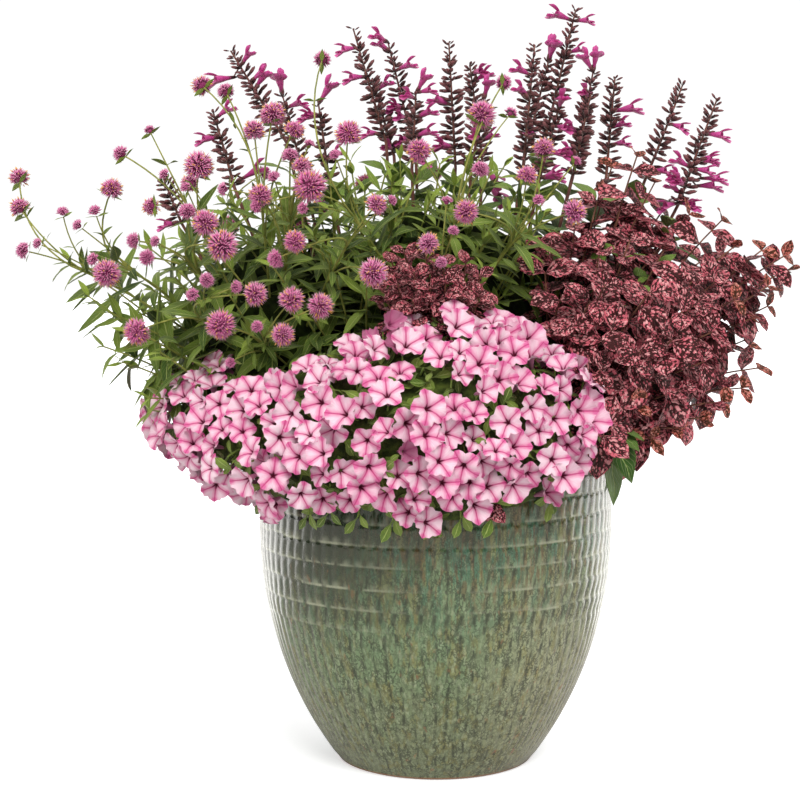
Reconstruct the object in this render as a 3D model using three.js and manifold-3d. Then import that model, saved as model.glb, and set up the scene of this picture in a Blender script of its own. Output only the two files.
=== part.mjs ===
// A round glazed pot packed with globe amaranth, salvia, polka dot plant and petunias.
// Millimetres, +Z up. The origin is the middle of the pot's flat foot, and -Y is the front.
import * as THREE from 'three';
import { mergeVertices } from 'three/addons/utils/BufferGeometryUtils.js';
import Module from 'manifold-3d';

const wasm = await Module();
wasm.setup();

// Driving dimensions of the pot
const potHeight = 322;
const footRadius = 100;
const bellyRadius = 178;
const bellyHeight = 245;
const rimRadius = 174;
const wallThickness = 11;
const floorThickness = 14;
const bandPitch = 22.5;
const bandRelief = 1.2;
const bandCount = 5;
const lowestBand = 148;
const potSides = 30;
const cavitySides = 15;
const drainRadius = 8;
const drainFromMiddle = 46;
const drainHoles = 3;

// Driving dimensions of what grows in it
const soilTop = 300;
const stemDepth = 24;
const stemKnee = 6;
const stemTaper = 0.8;
const clearance = 0.4;
const stalkRadius = 1.15;
const mainStalkRadius = 1.7;
const trunkRadius = 8;
const trunkSides = 4;
const bladeThickness = 1.8;
const bladeShoulder = 0.34;
const bladeTip = 0.7;
const bladeTipWidth = 0.78;
const bloomDiameter = 33;
const bloomDepth = 30;
const throatDepth = 4;
const lobeNotch = 0.8;
const rowPitch = 32;
const tubeLength = 7;
const tubeRadius = 6;
const whorlPitch = 16;
const spikeRadius = 13.5;
const calyxRise = 5;
const stemRadius = 2.2;
const trumpetLength = 36;

// Shares of a bush heart's radii: its ball, its leaf tips, where roots start and where stalks come out
const heartShare = 0.6;
const tipShare = 1.02;
const tipVariation = 0.16;
const tipLift = 0.08;
const rootShare = 0.5;
const outsideShare = 1.15;

// The flowers' places are measured across the pot's middle plane, as seen from this point
const eye = new THREE.Vector3(-36, -1750, 500);

const vec = (x, y, z) => new THREE.Vector3(x, y, z);
const up = vec(0, 0, 1);
const turnStep = Math.PI * (3 - Math.sqrt(5));
const radians = THREE.MathUtils.degToRad;

// A repeatable scatter between 0 and 1
function wobble(seed, i) {
  const wave = Math.sin(i * 12.9898 + seed * 78.233) * 43758.5453;
  return wave - Math.floor(wave);
}
const spread = (seed, i, low, high) => low + (high - low) * wobble(seed, i);

// Carries a place in the middle plane along the line of sight to its own depth
function seenAt(x, z, y) {
  return vec(x, 0, z).sub(eye).multiplyScalar((y - eye.y) / -eye.y).add(eye);
}

// Solids

function solidOf(geometry) {
  geometry.deleteAttribute('normal');
  geometry.deleteAttribute('uv');
  const merged = mergeVertices(geometry, 1e-4);
  return new wasm.Manifold(new wasm.Mesh({
    numProp: 3,
    vertProperties: new Float32Array(merged.attributes.position.array),
    triVerts: new Uint32Array(merged.index.array),
  }));
}

// A closed body through rings of points; a ring of one point ends it in a tip
function loft(rings) {
  const positions = [];
  const faces = [];
  const triangle = (a, b, c) => {
    if (a !== b && b !== c && a !== c) faces.push(a, b, c);
  };
  let start = 0;
  rings.forEach((ring, k) => {
    for (const point of ring) positions.push(point.x, point.y, point.z);
    const next = rings[k + 1];
    if (k === 0) ring.slice(2).forEach((_, i) => triangle(start, start + i + 2, start + i + 1));
    if (!next) {
      ring.slice(2).forEach((_, i) => triangle(start, start + i + 1, start + i + 2));
      return;
    }
    const after = start + ring.length;
    const steps = Math.max(ring.length, next.length);
    const low = (i) => start + (Math.floor((i * ring.length) / steps) % ring.length);
    const high = (i) => after + (Math.floor((i * next.length) / steps) % next.length);
    for (let i = 0; i < steps; i += 1) {
      triangle(low(i), high(i + 1), high(i));
      triangle(low(i), low(i + 1), high(i + 1));
    }
    start = after;
  });
  const geometry = new THREE.BufferGeometry();
  geometry.setAttribute('position', new THREE.Float32BufferAttribute(positions, 3));
  geometry.setIndex(faces);
  return solidOf(geometry);
}

// A direction square to a heading
function squareTo(heading) {
  return heading.clone().cross(Math.abs(heading.z) > 0.9 ? vec(1, 0, 0) : up).normalize();
}

// A ring of points round a heading; every second one may lie nearer or farther
function ring(centre, heading, count, radius, second = radius, phase = 0, side = squareTo(heading)) {
  const other = heading.clone().cross(side);
  return Array.from({ length: count }, (_, i) => {
    const turn = phase + (2 * Math.PI * i) / count;
    const reach = i % 2 ? second : radius;
    return centre.clone().addScaledVector(side, reach * Math.cos(turn))
      .addScaledVector(other, reach * Math.sin(turn));
  });
}

// Headings along a path, each with a square direction carried on without twisting
function framesAlong(points) {
  const frames = [];
  points.forEach((_, k) => {
    const heading = points[Math.min(k + 1, points.length - 1)].clone()
      .sub(points[Math.max(k - 1, 0)]).normalize();
    const before = k ? frames[k - 1].side : squareTo(heading);
    const side = before.clone().addScaledVector(heading, -before.dot(heading)).normalize();
    frames.push({ heading, side });
  });
  return frames;
}

// A stalk of a few flat sides along a list of points
function stalkRings(points, startRadius, endRadius, sides) {
  const frames = framesAlong(points);
  return points.map((point, k) => {
    const radius = THREE.MathUtils.lerp(startRadius, endRadius, k / (points.length - 1));
    return ring(point, frames[k].heading, sides, radius, radius, 0, frames[k].side);
  });
}

function stalk(points, startRadius, endRadius, sides, grow = 0) {
  return loft(stalkRings(points, startRadius + grow, endRadius + grow, sides));
}

// A stalk's points from one place to another, arched upwards by a share of its length
function arch(from, to, rise, steps) {
  const middle = from.clone().lerp(to, 0.5).addScaledVector(up, rise * from.distanceTo(to));
  return new THREE.QuadraticBezierCurve3(from, middle, to).getPoints(steps);
}

// A leaf blade of shallow keeled section, drooping to its tip; a pair is one body through its stem
function blade(root, heading, length, width, droop, grow = 0, paired = false, face = up) {
  const side = face.clone().cross(heading).normalize();
  const flat = heading.clone().setZ(0);
  const place = (s) => root.clone().addScaledVector(flat, s * length)
    .addScaledVector(up, (heading.z * Math.abs(s) - droop * s * s) * length);
  const section = (s, share) => {
    const along = place(s + 0.05).sub(place(s - 0.05)).normalize();
    const normal = along.clone().cross(side).normalize();
    const half = (width * share) / 2 + grow;
    const thick = bladeThickness / 2 + grow;
    return [
      place(s).addScaledVector(side, half).addScaledVector(normal, thick),
      place(s).addScaledVector(side, -half).addScaledVector(normal, thick),
      place(s).addScaledVector(normal, -thick),
    ];
  };
  const end = 1 + grow / length;
  const shoulder = (way) => section(way * bladeShoulder, 1);
  const narrow = (way) => section(way * bladeTip, bladeTipWidth);
  const outer = [shoulder(1), narrow(1), [place(end)]];
  if (!paired) return loft([[place(-grow / length)], ...outer]);
  return loft([[place(-end)], narrow(-1), shoulder(-1), section(0, 0.2), ...outer]);
}

// The rings of points on a flower head, by its diameter; heights are shares of its radius
const headForms = [
  { below: 14, points: 6, heights: [0] },
  { below: 22, points: 6, heights: [-0.3, 0.3] },
  { below: 30, points: 6, heights: [-0.52, 0, 0.5] },
  { below: Infinity, points: 10, heights: [-0.52, 0, 0.5] },
];
const bractShare = 0.55;
const stalkRise = 0.1;

// A flower head on its stalk: rings of points standing out by turns, closed by a top point
function headOnStalk(stalkPath, centre, diameter, grow = 0) {
  const reach = diameter / 2 + grow;
  const from = stalkPath[stalkPath.length - 1];
  const bow = arch(from, centre, stalkRise, from.distanceTo(centre) < 70 ? 1 : 2);
  const path = [...stalkPath.slice(0, -1), ...bow];
  const top = path[path.length - 1].clone().sub(path[path.length - 2]).normalize();
  path[path.length - 1] = centre.clone().addScaledVector(top, -0.8 * reach);
  const { heading, side } = framesAlong(path).pop();
  const { points, heights } = headForms.find(({ below }) => diameter < below);
  const rings = heights.map((height, k) => {
    const wide = reach * Math.sqrt(1 - height * height);
    const narrow = wide * bractShare;
    const middle = centre.clone().addScaledVector(heading, height * reach);
    return ring(middle, heading, points, k % 2 ? narrow : wide, k % 2 ? wide : narrow, 0, side);
  });
  const startRadius = stalkPath.length > 1 ? mainStalkRadius : stalkRadius;
  const stem = stalkRings(path, startRadius + grow, stalkRadius + grow, 3);
  return loft([...stem, ...rings, [centre.clone().addScaledVector(heading, reach)]]);
}

// A petunia: a five-lobed funnel, its throat sunk and its tube running back to a tip
function bloom(centre, facing, diameter, spin, grow = 0) {
  const reach = diameter / 2 + grow;
  const rim = ring(centre, facing, 10, reach, reach * lobeNotch, spin);
  rim.forEach((point, i) => point.addScaledVector(facing, i % 2 ? -1.5 : 0.5));
  return loft([
    [centre.clone().addScaledVector(facing, -bloomDepth - grow)],
    ring(centre.clone().addScaledVector(facing, -tubeLength), facing, 3, tubeRadius + grow),
    rim,
    [centre.clone().addScaledVector(facing, grow - throatDepth)],
  ]);
}

// A salvia spike on its stem: six-pointed rings that stand out by turns
function spike(root, foot, tip, grow = 0) {
  const length = foot.distanceTo(tip);
  const heading = tip.clone().sub(foot).normalize();
  const whorls = Math.max(4, Math.round(length / whorlPitch));
  const stem = [root, foot].map((point) => ring(point, heading, 3, stemRadius + grow));
  const rings = Array.from({ length: whorls }, (_, k) => {
    const s = (k + 0.5) / whorls;
    const wide = spikeRadius * (1 - 0.62 * s) + grow;
    const narrow = wide * 0.42;
    const middle = foot.clone().addScaledVector(heading, s * length);
    const points = ring(middle, heading, 6, k % 2 ? narrow : wide, k % 2 ? wide : narrow);
    points.forEach((point, i) => point.addScaledVector(heading, (i + k) % 2 ? 0 : calyxRise));
    return points;
  });
  return loft([...stem, ...rings, [tip.clone().addScaledVector(heading, calyxRise)]]);
}

// A salvia flower: a thin tube widening to its mouth
function trumpet(root, heading, length, grow = 0) {
  const at = (s) => root.clone().addScaledVector(heading, s * length);
  return loft([[root], ring(at(0.55), heading, 3, 2 + grow), ring(at(1), heading, 3, 5 + grow)]);
}

// What is already standing, by node, so that later pieces can be kept clear of it
const standing = new Map();

function boxOf(solid) {
  const { min, max } = solid.boundingBox();
  return new THREE.Box3(vec(...min), vec(...max));
}

function stand(name, ...solids) {
  const pieces = standing.get(name) ?? [];
  pieces.push(...solids.map((solid) => ({ solid, box: boxOf(solid) })));
  standing.set(name, pieces);
}

function isClear(name, solid, host = name) {
  const box = boxOf(solid);
  for (const [other, pieces] of standing) {
    if (other === name || other === host) continue;
    for (const piece of pieces) {
      if (piece.box.intersectsBox(box) && piece.solid.intersect(solid).volume() > 1e-4) return false;
    }
  }
  return true;
}

// Adds the first way of making a piece that stays clear of the other nodes
function standClear(name, ways) {
  for (const way of ways) {
    if (isClear(name, way(clearance))) {
      stand(name, way(0));
      return true;
    }
  }
  return false;
}

// The largest body of all that was fused, which leaves out scraps and sealed hollows
function fused(name) {
  const [first, ...rest] = standing.get(name).map(({ solid }) => solid);
  const whole = rest.reduce((sum, solid) => sum.add(solid), first);
  return whole.decompose().reduce((best, body) => (body.volume() > best.volume() ? body : best));
}

const group = new THREE.Group();

function addPart(name, solid, color, roughness) {
  const mesh = solid.getMesh();
  const geometry = new THREE.BufferGeometry();
  geometry.setAttribute('position', new THREE.BufferAttribute(mesh.vertProperties, 3));
  geometry.setIndex(new THREE.BufferAttribute(mesh.triVerts, 1));
  const part = new THREE.Mesh(geometry, new THREE.MeshStandardMaterial({ color, roughness, metalness: 0 }));
  part.name = name;
  group.add(part);
}

// Pot: a turned shell with throwing bands, a rolled rim and drain holes

function potRadius(z) {
  if (z > bellyHeight) {
    const share = (z - bellyHeight) / (potHeight - bellyHeight);
    return bellyRadius - (bellyRadius - rimRadius) * share * share;
  }
  return bellyRadius - (bellyRadius - footRadius) * (1 - z / bellyHeight) ** 2;
}

function turned(profile, sides) {
  const geometry = new THREE.LatheGeometry(profile.map(([r, z]) => new THREE.Vector2(r, z)), sides);
  geometry.rotateX(Math.PI / 2);
  return solidOf(geometry);
}

function prism(x, y, radius, low, high, sides) {
  const geometry = new THREE.CylinderGeometry(radius, radius, high - low, sides);
  geometry.rotateX(Math.PI / 2).translate(x, y, (low + high) / 2);
  return solidOf(geometry);
}

function potSolid() {
  const profile = [[0, 0], [footRadius - 3, 0]];
  for (const z of [4, 34, 72, 114]) profile.push([potRadius(z), z]);
  for (let k = 0; k < bandCount; k += 1) {
    const z = lowestBand + k * bandPitch;
    profile.push([potRadius(z) + bandRelief, z], [potRadius(z + 6) - bandRelief, z + 6]);
  }
  profile.push([bellyRadius, 276], [rimRadius + 3, 308], [rimRadius - 4, potHeight], [0, potHeight]);
  const cavity = cavityProfile(0);
  cavity.push([rimRadius - wallThickness, potHeight + 5], [0, potHeight + 5]);
  let shell = turned(profile, potSides).subtract(turned(cavity, cavitySides));
  for (let k = 0; k < drainHoles; k += 1) {
    const turn = (2 * Math.PI * k) / drainHoles;
    const [x, y] = [drainFromMiddle * Math.sin(turn), drainFromMiddle * Math.cos(turn)];
    shell = shell.subtract(prism(x, y, drainRadius, -5, floorThickness + 5, 8));
  }
  return shell;
}

function cavityProfile(gap) {
  const heights = [floorThickness + gap, 90, bellyHeight];
  const profile = [[0, heights[0]]];
  for (const z of heights) profile.push([potRadius(z) - wallThickness - gap, z]);
  return profile;
}

function soilSolid() {
  const profile = cavityProfile(clearance);
  const edge = potRadius(soilTop) - wallThickness - clearance - 3;
  profile.push([edge, soilTop - 3], [0, soilTop + 2]);
  return turned(profile, cavitySides);
}

stand('pot', potSolid());
let soil = soilSolid();

// A stem standing in a plain hole in the soil
function plantStem(name, x, y, toward, radius = trunkRadius) {
  const pathFrom = (low) => [vec(x, y, low), vec(x, y, soilTop + stemKnee), toward];
  const stem = (low, grow) => stalk(pathFrom(low), radius, radius * stemTaper, trunkSides, grow);
  const foot = soilTop - stemDepth;
  soil = soil.subtract(stem(foot - clearance, clearance));
  stand(name, stem(foot, 0));
  return stem(foot, 3 * clearance);
}

// Petunias: mounds side by side along the front rim, each spilling over it

const petuniaStart = -68;
const petuniaTurn = 24;
const petuniaHalf = 11.2;
const bloomSeat = 10;
const petuniaMounds = [
  { low: 306, high: 418, reach: 1.16, inside: 172, leftEnd: 0.5, rightEnd: 0.8 },
  { low: 256, high: 424, reach: 1.07, inside: 150, leftEnd: 0.8, rightEnd: 0.8 },
  { low: 268, high: 438, reach: 1.02, inside: 118, leftEnd: 0.8, rightEnd: 0.8 },
  { low: 250, high: 456, reach: 1, inside: 112, leftEnd: 0.8, rightEnd: 0.8 },
  { low: 274, high: 438, reach: 0.98, inside: 132, leftEnd: 0.8, rightEnd: 0.5 },
];

// The mound's outside in a plane through the pot's axis, as distance from it and height
function skirtCurve({ low, high, reach }) {
  const at = (share) => low + (high - low) * share;
  return new THREE.SplineCurve([
    new THREE.Vector2(191, low),
    new THREE.Vector2(220 * reach, at(0.24)),
    new THREE.Vector2(229 * reach, at(0.5)),
    new THREE.Vector2(209 * reach, at(0.76)),
    new THREE.Vector2(150 * reach, high),
  ]);
}

// Angles run from the front towards the right
const around = (angle, radius, z) => vec(radius * Math.sin(angle), -radius * Math.cos(angle), z);

function moundCore(mound, middle, grow = 0) {
  const curve = skirtCurve(mound);
  const outer = [0.06, 0.28, 0.5, 0.74, 0.97].map((u) => {
    const along = curve.getTangentAt(u);
    return curve.getPointAt(u).add(new THREE.Vector2(-along.y, along.x).multiplyScalar(bloomSeat));
  });
  const inner = [
    [mound.inside, mound.high - 40], [mound.inside, 334], [182, 330], [182, Math.min(mound.low + 14, 326)],
  ].map(([r, z]) => new THREE.Vector2(r, z));
  const heart = new THREE.Vector2(mound.inside + 24, 352);
  const rings = [[1, mound.rightEnd], [0.36, 1], [-0.36, 1], [-1, mound.leftEnd]].map(([s, size]) => {
    const angle = radians(middle + s * (petuniaHalf + grow));
    return [...outer, ...inner].map((point, i) => {
      const share = i < outer.length ? size : 1;
      const arm = point.clone().sub(heart);
      const place = heart.clone().addScaledVector(arm, share + (2 * grow) / arm.length());
      return around(angle, place.x, place.y);
    });
  });
  return loft(rings);
}

const roomForPetunias = petuniaMounds.flatMap((mound, m) => {
  const name = `petunia_${m + 1}`;
  const middle = petuniaStart + petuniaTurn * m;
  const foot = around(radians(middle), 128, 0);
  stand(name, moundCore(mound, middle));
  const stemRoom = plantStem(name, foot.x, foot.y, around(radians(middle), mound.inside + 20, 358), 5);
  return [moundCore(mound, middle, 3 * clearance), stemRoom];
});

// Bush hearts: a small ball whose every face is raised to a leaf tip, with a stem into the soil

const cores = {
  amaranth_foliage_left: { centre: vec(-160, -8, 432), radii: vec(84, 80, 100), stem: [-84, -8] },
  amaranth_foliage_middle: { centre: vec(2, 0, 468), radii: vec(68, 66, 106), stem: [-6, 0] },
  salvia_foliage_left: { centre: vec(-96, 116, 432), radii: vec(82, 46, 104), stem: [-64, 98] },
  salvia_foliage_right: { centre: vec(94, 122, 440), radii: vec(94, 50, 108), stem: [62, 98] },
  polka_dot_bush: { centre: vec(188, -16, 430), radii: vec(94, 82, 90), stem: [92, -12] },
};

function bushHeart({ centre, radii }, seed) {
  const round = new THREE.IcosahedronGeometry(1, 1).attributes.position;
  const points = [];
  for (let i = 0; i < round.count; i += 3) {
    const [a, b, c] = [0, 1, 2].map((k) => new THREE.Vector3().fromBufferAttribute(round, i + k));
    const peak = a.clone().add(b).add(c).setLength(spread(seed, i, tipShare - tipVariation, tipShare))
      .addScaledVector(up, tipLift);
    for (const corner of [a, b, c]) corner.multiplyScalar(heartShare);
    for (const corner of [a, b, peak, b, c, peak, c, a, peak]) {
      points.push(...corner.clone().multiply(radii).add(centre).toArray());
    }
  }
  const geometry = new THREE.BufferGeometry();
  geometry.setAttribute('position', new THREE.Float32BufferAttribute(points, 3));
  return solidOf(geometry);
}

Object.entries(cores).forEach(([name, core], c) => {
  const solid = roomForPetunias.reduce((rest, room) => rest.subtract(room), bushHeart(core, c + 1));
  stand(name, solid.decompose().reduce((a, b) => (a.volume() > b.volume() ? a : b)));
  plantStem(name, core.stem[0], core.stem[1], core.centre);
});

// A place near a core's outside, seen from its middle towards a point
function onCore(core, toward, share) {
  const arm = toward.clone().sub(core.centre);
  return core.centre.clone().addScaledVector(arm, share / arm.clone().divide(core.radii).length());
}

// Cuts the socket that a stem stands in out of a core
function socket(host, hole) {
  const [core, ...others] = standing.get(host);
  standing.set(host, [{ solid: core.solid.subtract(hole), box: core.box }, ...others]);
}

function socketStem(name, host, [start, end], startRadius, endRadius, sides) {
  const below = start.clone().lerp(end, -clearance / start.distanceTo(end));
  socket(host, stalk([below, end], startRadius, endRadius, sides, clearance));
  stand(name, stalk([start, end], startRadius, endRadius, sides));
}

// Globe amaranth: sprays of heads on thin forked stalks. Each head is x, z and diameter

const sprays = [
  {
    fork: [-370, 502],
    heads: [[-420, 590, 20], [-420, 560, 20], [-377, 555, 13], [-417, 517, 17], [-402, 524, 12]],
  },
  {
    fork: [-322, 506],
    heads: [[-361, 542, 13], [-344, 556, 14], [-346, 508, 14], [-327, 579, 21], [-333, 494, 27]],
  },
  {
    fork: [-244, 548],
    heads: [[-288, 637, 12], [-317, 614, 17], [-273, 593, 12], [-239, 602, 29], [-252, 580, 12]],
  },
  {
    fork: [-250, 506],
    heads: [[-305, 527, 16], [-283, 526, 12], [-292, 510, 16], [-251, 556, 18], [-233, 545, 25],
      [-216, 522, 31]],
  },
  {
    fork: [-240, 450],
    heads: [[-303, 435, 26], [-246, 472, 14], [-232, 487, 15], [-203, 480, 14], [-183, 473, 23]],
  },
  {
    fork: [-173, 421],
    heads: [[-218, 442, 29], [-181, 440, 13], [-155, 432, 22], [-146, 467, 24], [-117, 461, 24],
      [-208, 404, 12]],
  },
  {
    fork: [-176, 563],
    heads: [[-235, 682, 20], [-211, 676, 17], [-183, 637, 21], [-164, 653, 26], [-143, 637, 20]],
  },
  {
    fork: [-148, 546],
    heads: [[-147, 612, 17], [-135, 601, 20], [-127, 582, 33], [-163, 590, 14], [-177, 572, 22],
      [-128, 623, 12], [-213, 579, 14]],
  },
  {
    fork: [-92, 563],
    heads: [[-114, 708, 18], [-88, 634, 26], [-101, 612, 13], [-133, 560, 13], [-180, 562, 14]],
  },
  {
    fork: [-92, 518],
    heads: [[-142, 526, 22], [-161, 509, 18], [-63, 495, 28], [-60, 563, 20], [-45, 567, 12]],
  },
  {
    fork: [20, 553],
    heads: [[-17, 617, 24], [46, 653, 28], [68, 685, 16], [75, 654, 14], [45, 598, 18]],
  },
  {
    fork: [85, 533],
    heads: [[109, 619, 22], [92, 592, 20], [141, 606, 12], [104, 567, 13], [140, 556, 24],
      [31, 556, 24]],
  },
  {
    fork: [5, 492],
    heads: [[11, 566, 12], [-7, 524, 20], [18, 536, 12], [6, 505, 12]],
  },
];
const canopy = { centre: vec(-80, 20, 480), radii: vec(400, 190, 230) };
const forkBehindHeads = 40;
const depthSteps = [0, -14, 14, -28, 28, -44];
const branchPitch = 7;
const leafiestSprays = 3;

// How near the front the heads stand at a place across the canopy
function canopyFront(x, z) {
  const { centre, radii } = canopy;
  const rest = 1 - ((x - centre.x) / radii.x) ** 2 - ((z - centre.z) / radii.z) ** 2;
  return centre.y - radii.y * Math.sqrt(Math.max(rest, 0));
}

function nearestCore(place) {
  const names = ['amaranth_foliage_left', 'amaranth_foliage_middle'];
  const offset = (name) => place.clone().sub(cores[name].centre).divide(cores[name].radii).length();
  return names.reduce((best, name) => (offset(name) < offset(best) ? name : best));
}

// One spray: a main stalk that carries its straightest head, with the others branching off below its end
function spray(name, fork, heads, seed) {
  const host = nearestCore(fork);
  const { centre } = cores[host];
  const start = onCore(cores[host], fork, rootShare);
  const surface = onCore(cores[host], fork, outsideShare + 0.15);
  const split = fork.distanceTo(centre) < surface.distanceTo(centre) ? surface : fork;
  const along = split.clone().sub(start).normalize();
  const gap = Math.min(branchPitch, (0.22 * split.distanceTo(start)) / heads.length);
  const divergence = ({ at }) => at(0).sub(split).angleTo(along);
  const [leader, ...branches] = [...heads].sort((a, b) => divergence(a) - divergence(b));
  const below = start.clone().addScaledVector(along, -clearance);
  socket(host, stalk([below, split], mainStalkRadius, mainStalkRadius, 3, 2 * clearance));
  const step = depthSteps.find((depth) => (
    isClear(name, headOnStalk([start, split], leader.at(depth), leader.diameter, clearance)))) ?? 0;
  stand(name, headOnStalk([start, split], leader.at(step), leader.diameter));
  branches.forEach(({ at, diameter }, h) => {
    const from = split.clone().addScaledVector(along, -gap * (h + 0.5));
    standClear(name, depthSteps.map((depth) => (grow) => headOnStalk([from], at(depth), diameter, grow)));
  });
  if (split === surface || seed > leafiestSprays) return;
  const root = split.clone().addScaledVector(along, -gap * heads.length);
  const across = along.clone().cross(up).setZ(0.2).normalize();
  const length = spread(seed, 5, 38, 52);
  standClear(name, [0, 0.5, -0.5].map((turn) => (grow) => (
    blade(root, across.clone().applyAxisAngle(up, turn), length, 10, 0.5, grow, true))));
}

sprays.forEach(({ fork, heads }, s) => {
  const forkPlace = seenAt(...fork, canopyFront(...fork) + forkBehindHeads);
  spray(`amaranth_flowers_${s + 1}`, forkPlace, heads.map(([x, z, diameter]) => ({
    diameter,
    at: (step) => seenAt(x, z, canopyFront(x, z) + step),
  })), s + 1);
});

// Two more sprays behind the bush
const backSprays = 2;
const backHeads = 4;
for (let s = 0; s < backSprays; s += 1) {
  const fork = vec(-230 + 190 * s, 90, 535);
  const heads = Array.from({ length: backHeads }, (_, h) => {
    const turn = h * turnStep;
    const reach = 36 + 12 * h;
    const offset = vec(reach * Math.cos(turn), 40 + 14 * h, 40 + reach * 0.5 * Math.sin(turn));
    return { diameter: 16 + 4 * (h % 3), at: (step) => fork.clone().add(offset).add(vec(0, step, 0)) };
  });
  spray(`amaranth_flowers_${sprays.length + s + 1}`, fork, heads, sprays.length + s + 1);
}

// Salvia: spikes given as the x, z of tip and foot, with the depth that they stand at

const spikes = [
  { tip: [-206, 717], foot: [-150, 625], depth: 60 },
  { tip: [-224, 656], foot: [-203, 580], depth: 40 },
  { tip: [-275, 590], foot: [-257, 545], depth: 75 },
  { tip: [-154, 672], foot: [-135, 600], depth: 110 },
  { tip: [-118, 664], foot: [-108, 590], depth: 70 },
  { tip: [-83, 739], foot: [-50, 625], depth: 90 },
  { tip: [-48, 725], foot: [-20, 612], depth: 130 },
  { tip: [13, 725], foot: [20, 600], depth: 85 },
  { tip: [34, 703], foot: [48, 600], depth: 150 },
  { tip: [99, 722], foot: [88, 600], depth: 75 },
  { tip: [140, 757], foot: [110, 628], depth: 130 },
  { tip: [158, 696], foot: [140, 600], depth: 85 },
  { tip: [180, 690], foot: [172, 590], depth: 150 },
  { tip: [248, 683], foot: [212, 590], depth: 100 },
  { tip: [283, 669], foot: [246, 565], depth: 60 },
];

const spikeSteps = [0, 18, -18, 36, -36, 54];
const flowersOnSpike = 2;

spikes.forEach(({ tip, foot, depth }, s) => {
  const name = `salvia_spike_${s + 1}`;
  const host = foot[0] < 0 ? 'salvia_foliage_left' : 'salvia_foliage_right';
  for (const step of spikeSteps) {
    const low = seenAt(...foot, depth + step);
    const high = seenAt(...tip, depth + step);
    const root = onCore(cores[host], low, rootShare);
    if (!isClear(name, spike(root, low, high, clearance), host)) continue;
    const below = root.clone().lerp(low, -clearance / root.distanceTo(low));
    socket(host, spike(below, low, high, 2 * clearance));
    stand(name, spike(root, low, high));
    for (let f = 0; f < flowersOnSpike; f += 1) {
      const from = low.clone().lerp(high, 0.3 + 0.36 * f);
      const turn = f * turnStep + s;
      const heading = vec(Math.cos(turn), -Math.abs(Math.sin(turn)) - 0.2, 0.55).normalize();
      standClear(name, [0, 1.3, 2.6].map((more) => (grow) => (
        trumpet(from, heading.clone().applyAxisAngle(up, more), trumpetLength, grow))));
    }
    break;
  }
});

// Polka dot plant: leafy stems out of the bush, given as the x, z of the tip and its depth

const polkaStems = [
  { tip: [290, 532], depth: -60 },
  { tip: [345, 501], depth: 0 },
  { tip: [332, 449], depth: -70 },
  { tip: [318, 411], depth: 20 },
  { tip: [335, 382], depth: -50 },
  { tip: [275, 342], depth: -90 },
  { tip: [231, 335], depth: -120 },
  { tip: [178, 612], depth: 0 },
  { tip: [222, 575], depth: -50 },
];

const towardsFront = vec(0, -0.75, 0.66);
const ovateWidth = 0.64;
const ovateDroop = 0.3;
const stemLeaf = 34;
const frontLeaf = 42;

function ovateLeaf(root, turn, rise, length, grow, paired) {
  const heading = vec(Math.cos(turn), Math.sin(turn), rise).normalize();
  return blade(root, heading, length, length * ovateWidth, ovateDroop, grow, paired, towardsFront);
}

// Pairs of leaves down a straight stem from its tip, each pair square to the last
function leafPairs(name, foot, tip, seed, length) {
  const pairs = foot.distanceTo(tip) > 75 ? 3 : 2;
  for (let p = 0; p < pairs; p += 1) {
    const root = tip.clone().lerp(foot, (p + 0.1) / pairs);
    const turn = seed + (p * Math.PI) / 2;
    const size = length * (0.72 + 0.2 * Math.min(p, 2)) * spread(seed, p, 0.9, 1.1);
    standClear(name, [0, 0.5, -0.5, 1, -1, 1.5].map((more) => (grow) => (
      ovateLeaf(root, turn + more, 0.3, size, grow, true))));
  }
}

polkaStems.forEach(({ tip, depth }, s) => {
  const name = `polka_dot_stem_${s + 1}`;
  const end = seenAt(...tip, depth);
  const core = cores.polka_dot_bush;
  socketStem(name, 'polka_dot_bush', [onCore(core, end, rootShare), end], 2, 1.4, 4);
  leafPairs(name, onCore(core, end, outsideShare), end, s, stemLeaf);
});

// Another polka dot plant, behind the petunias
plantStem('polka_dot_front', -4, -76, vec(-4, -92, 505), 3);
leafPairs('polka_dot_front', vec(-4, -84, 424), vec(-4, -92, 503), 3, frontLeaf);

// Leaves on the bushes

function bushLeaves(name, count, make) {
  const core = cores[name];
  for (let i = 0; i < count; i += 1) {
    const height = 0.96 - (1.5 * (i + 0.5)) / count;
    const flat = Math.sqrt(1 - height * height);
    const turn = i * turnStep;
    const outward = vec(flat * Math.cos(turn), flat * Math.sin(turn), height);
    const root = core.centre.clone().add(outward.clone().multiply(core.radii).multiplyScalar(rootShare));
    const sweep = [0, 0.5, -0.5, 1, -1];
    standClear(name, sweep.map((more) => (grow) => (
      make(root, outward.clone().applyAxisAngle(up, more), i, grow))));
  }
}

const lanceWidth = 14;
const broadWidth = 40;
const raised = (outward, rise) => outward.clone().addScaledVector(up, rise).normalize();
const lance = (root, outward, i, grow) => (
  blade(root, raised(outward, 0.35), spread(7, i, 74, 92), lanceWidth, 0.4, grow));
const broad = (root, outward, i, grow) => (
  blade(root, raised(outward, 0.2), spread(8, i, 76, 96), broadWidth, 0.35, grow));
const ovate = (root, outward, i, grow) => (
  ovateLeaf(root, Math.atan2(outward.y, outward.x), outward.z + 0.2, spread(9, i, 60, 72), grow));

bushLeaves('amaranth_foliage_left', 18, lance);
bushLeaves('amaranth_foliage_middle', 12, lance);
bushLeaves('salvia_foliage_left', 8, broad);
bushLeaves('salvia_foliage_right', 8, broad);
bushLeaves('polka_dot_bush', 11, ovate);

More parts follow.
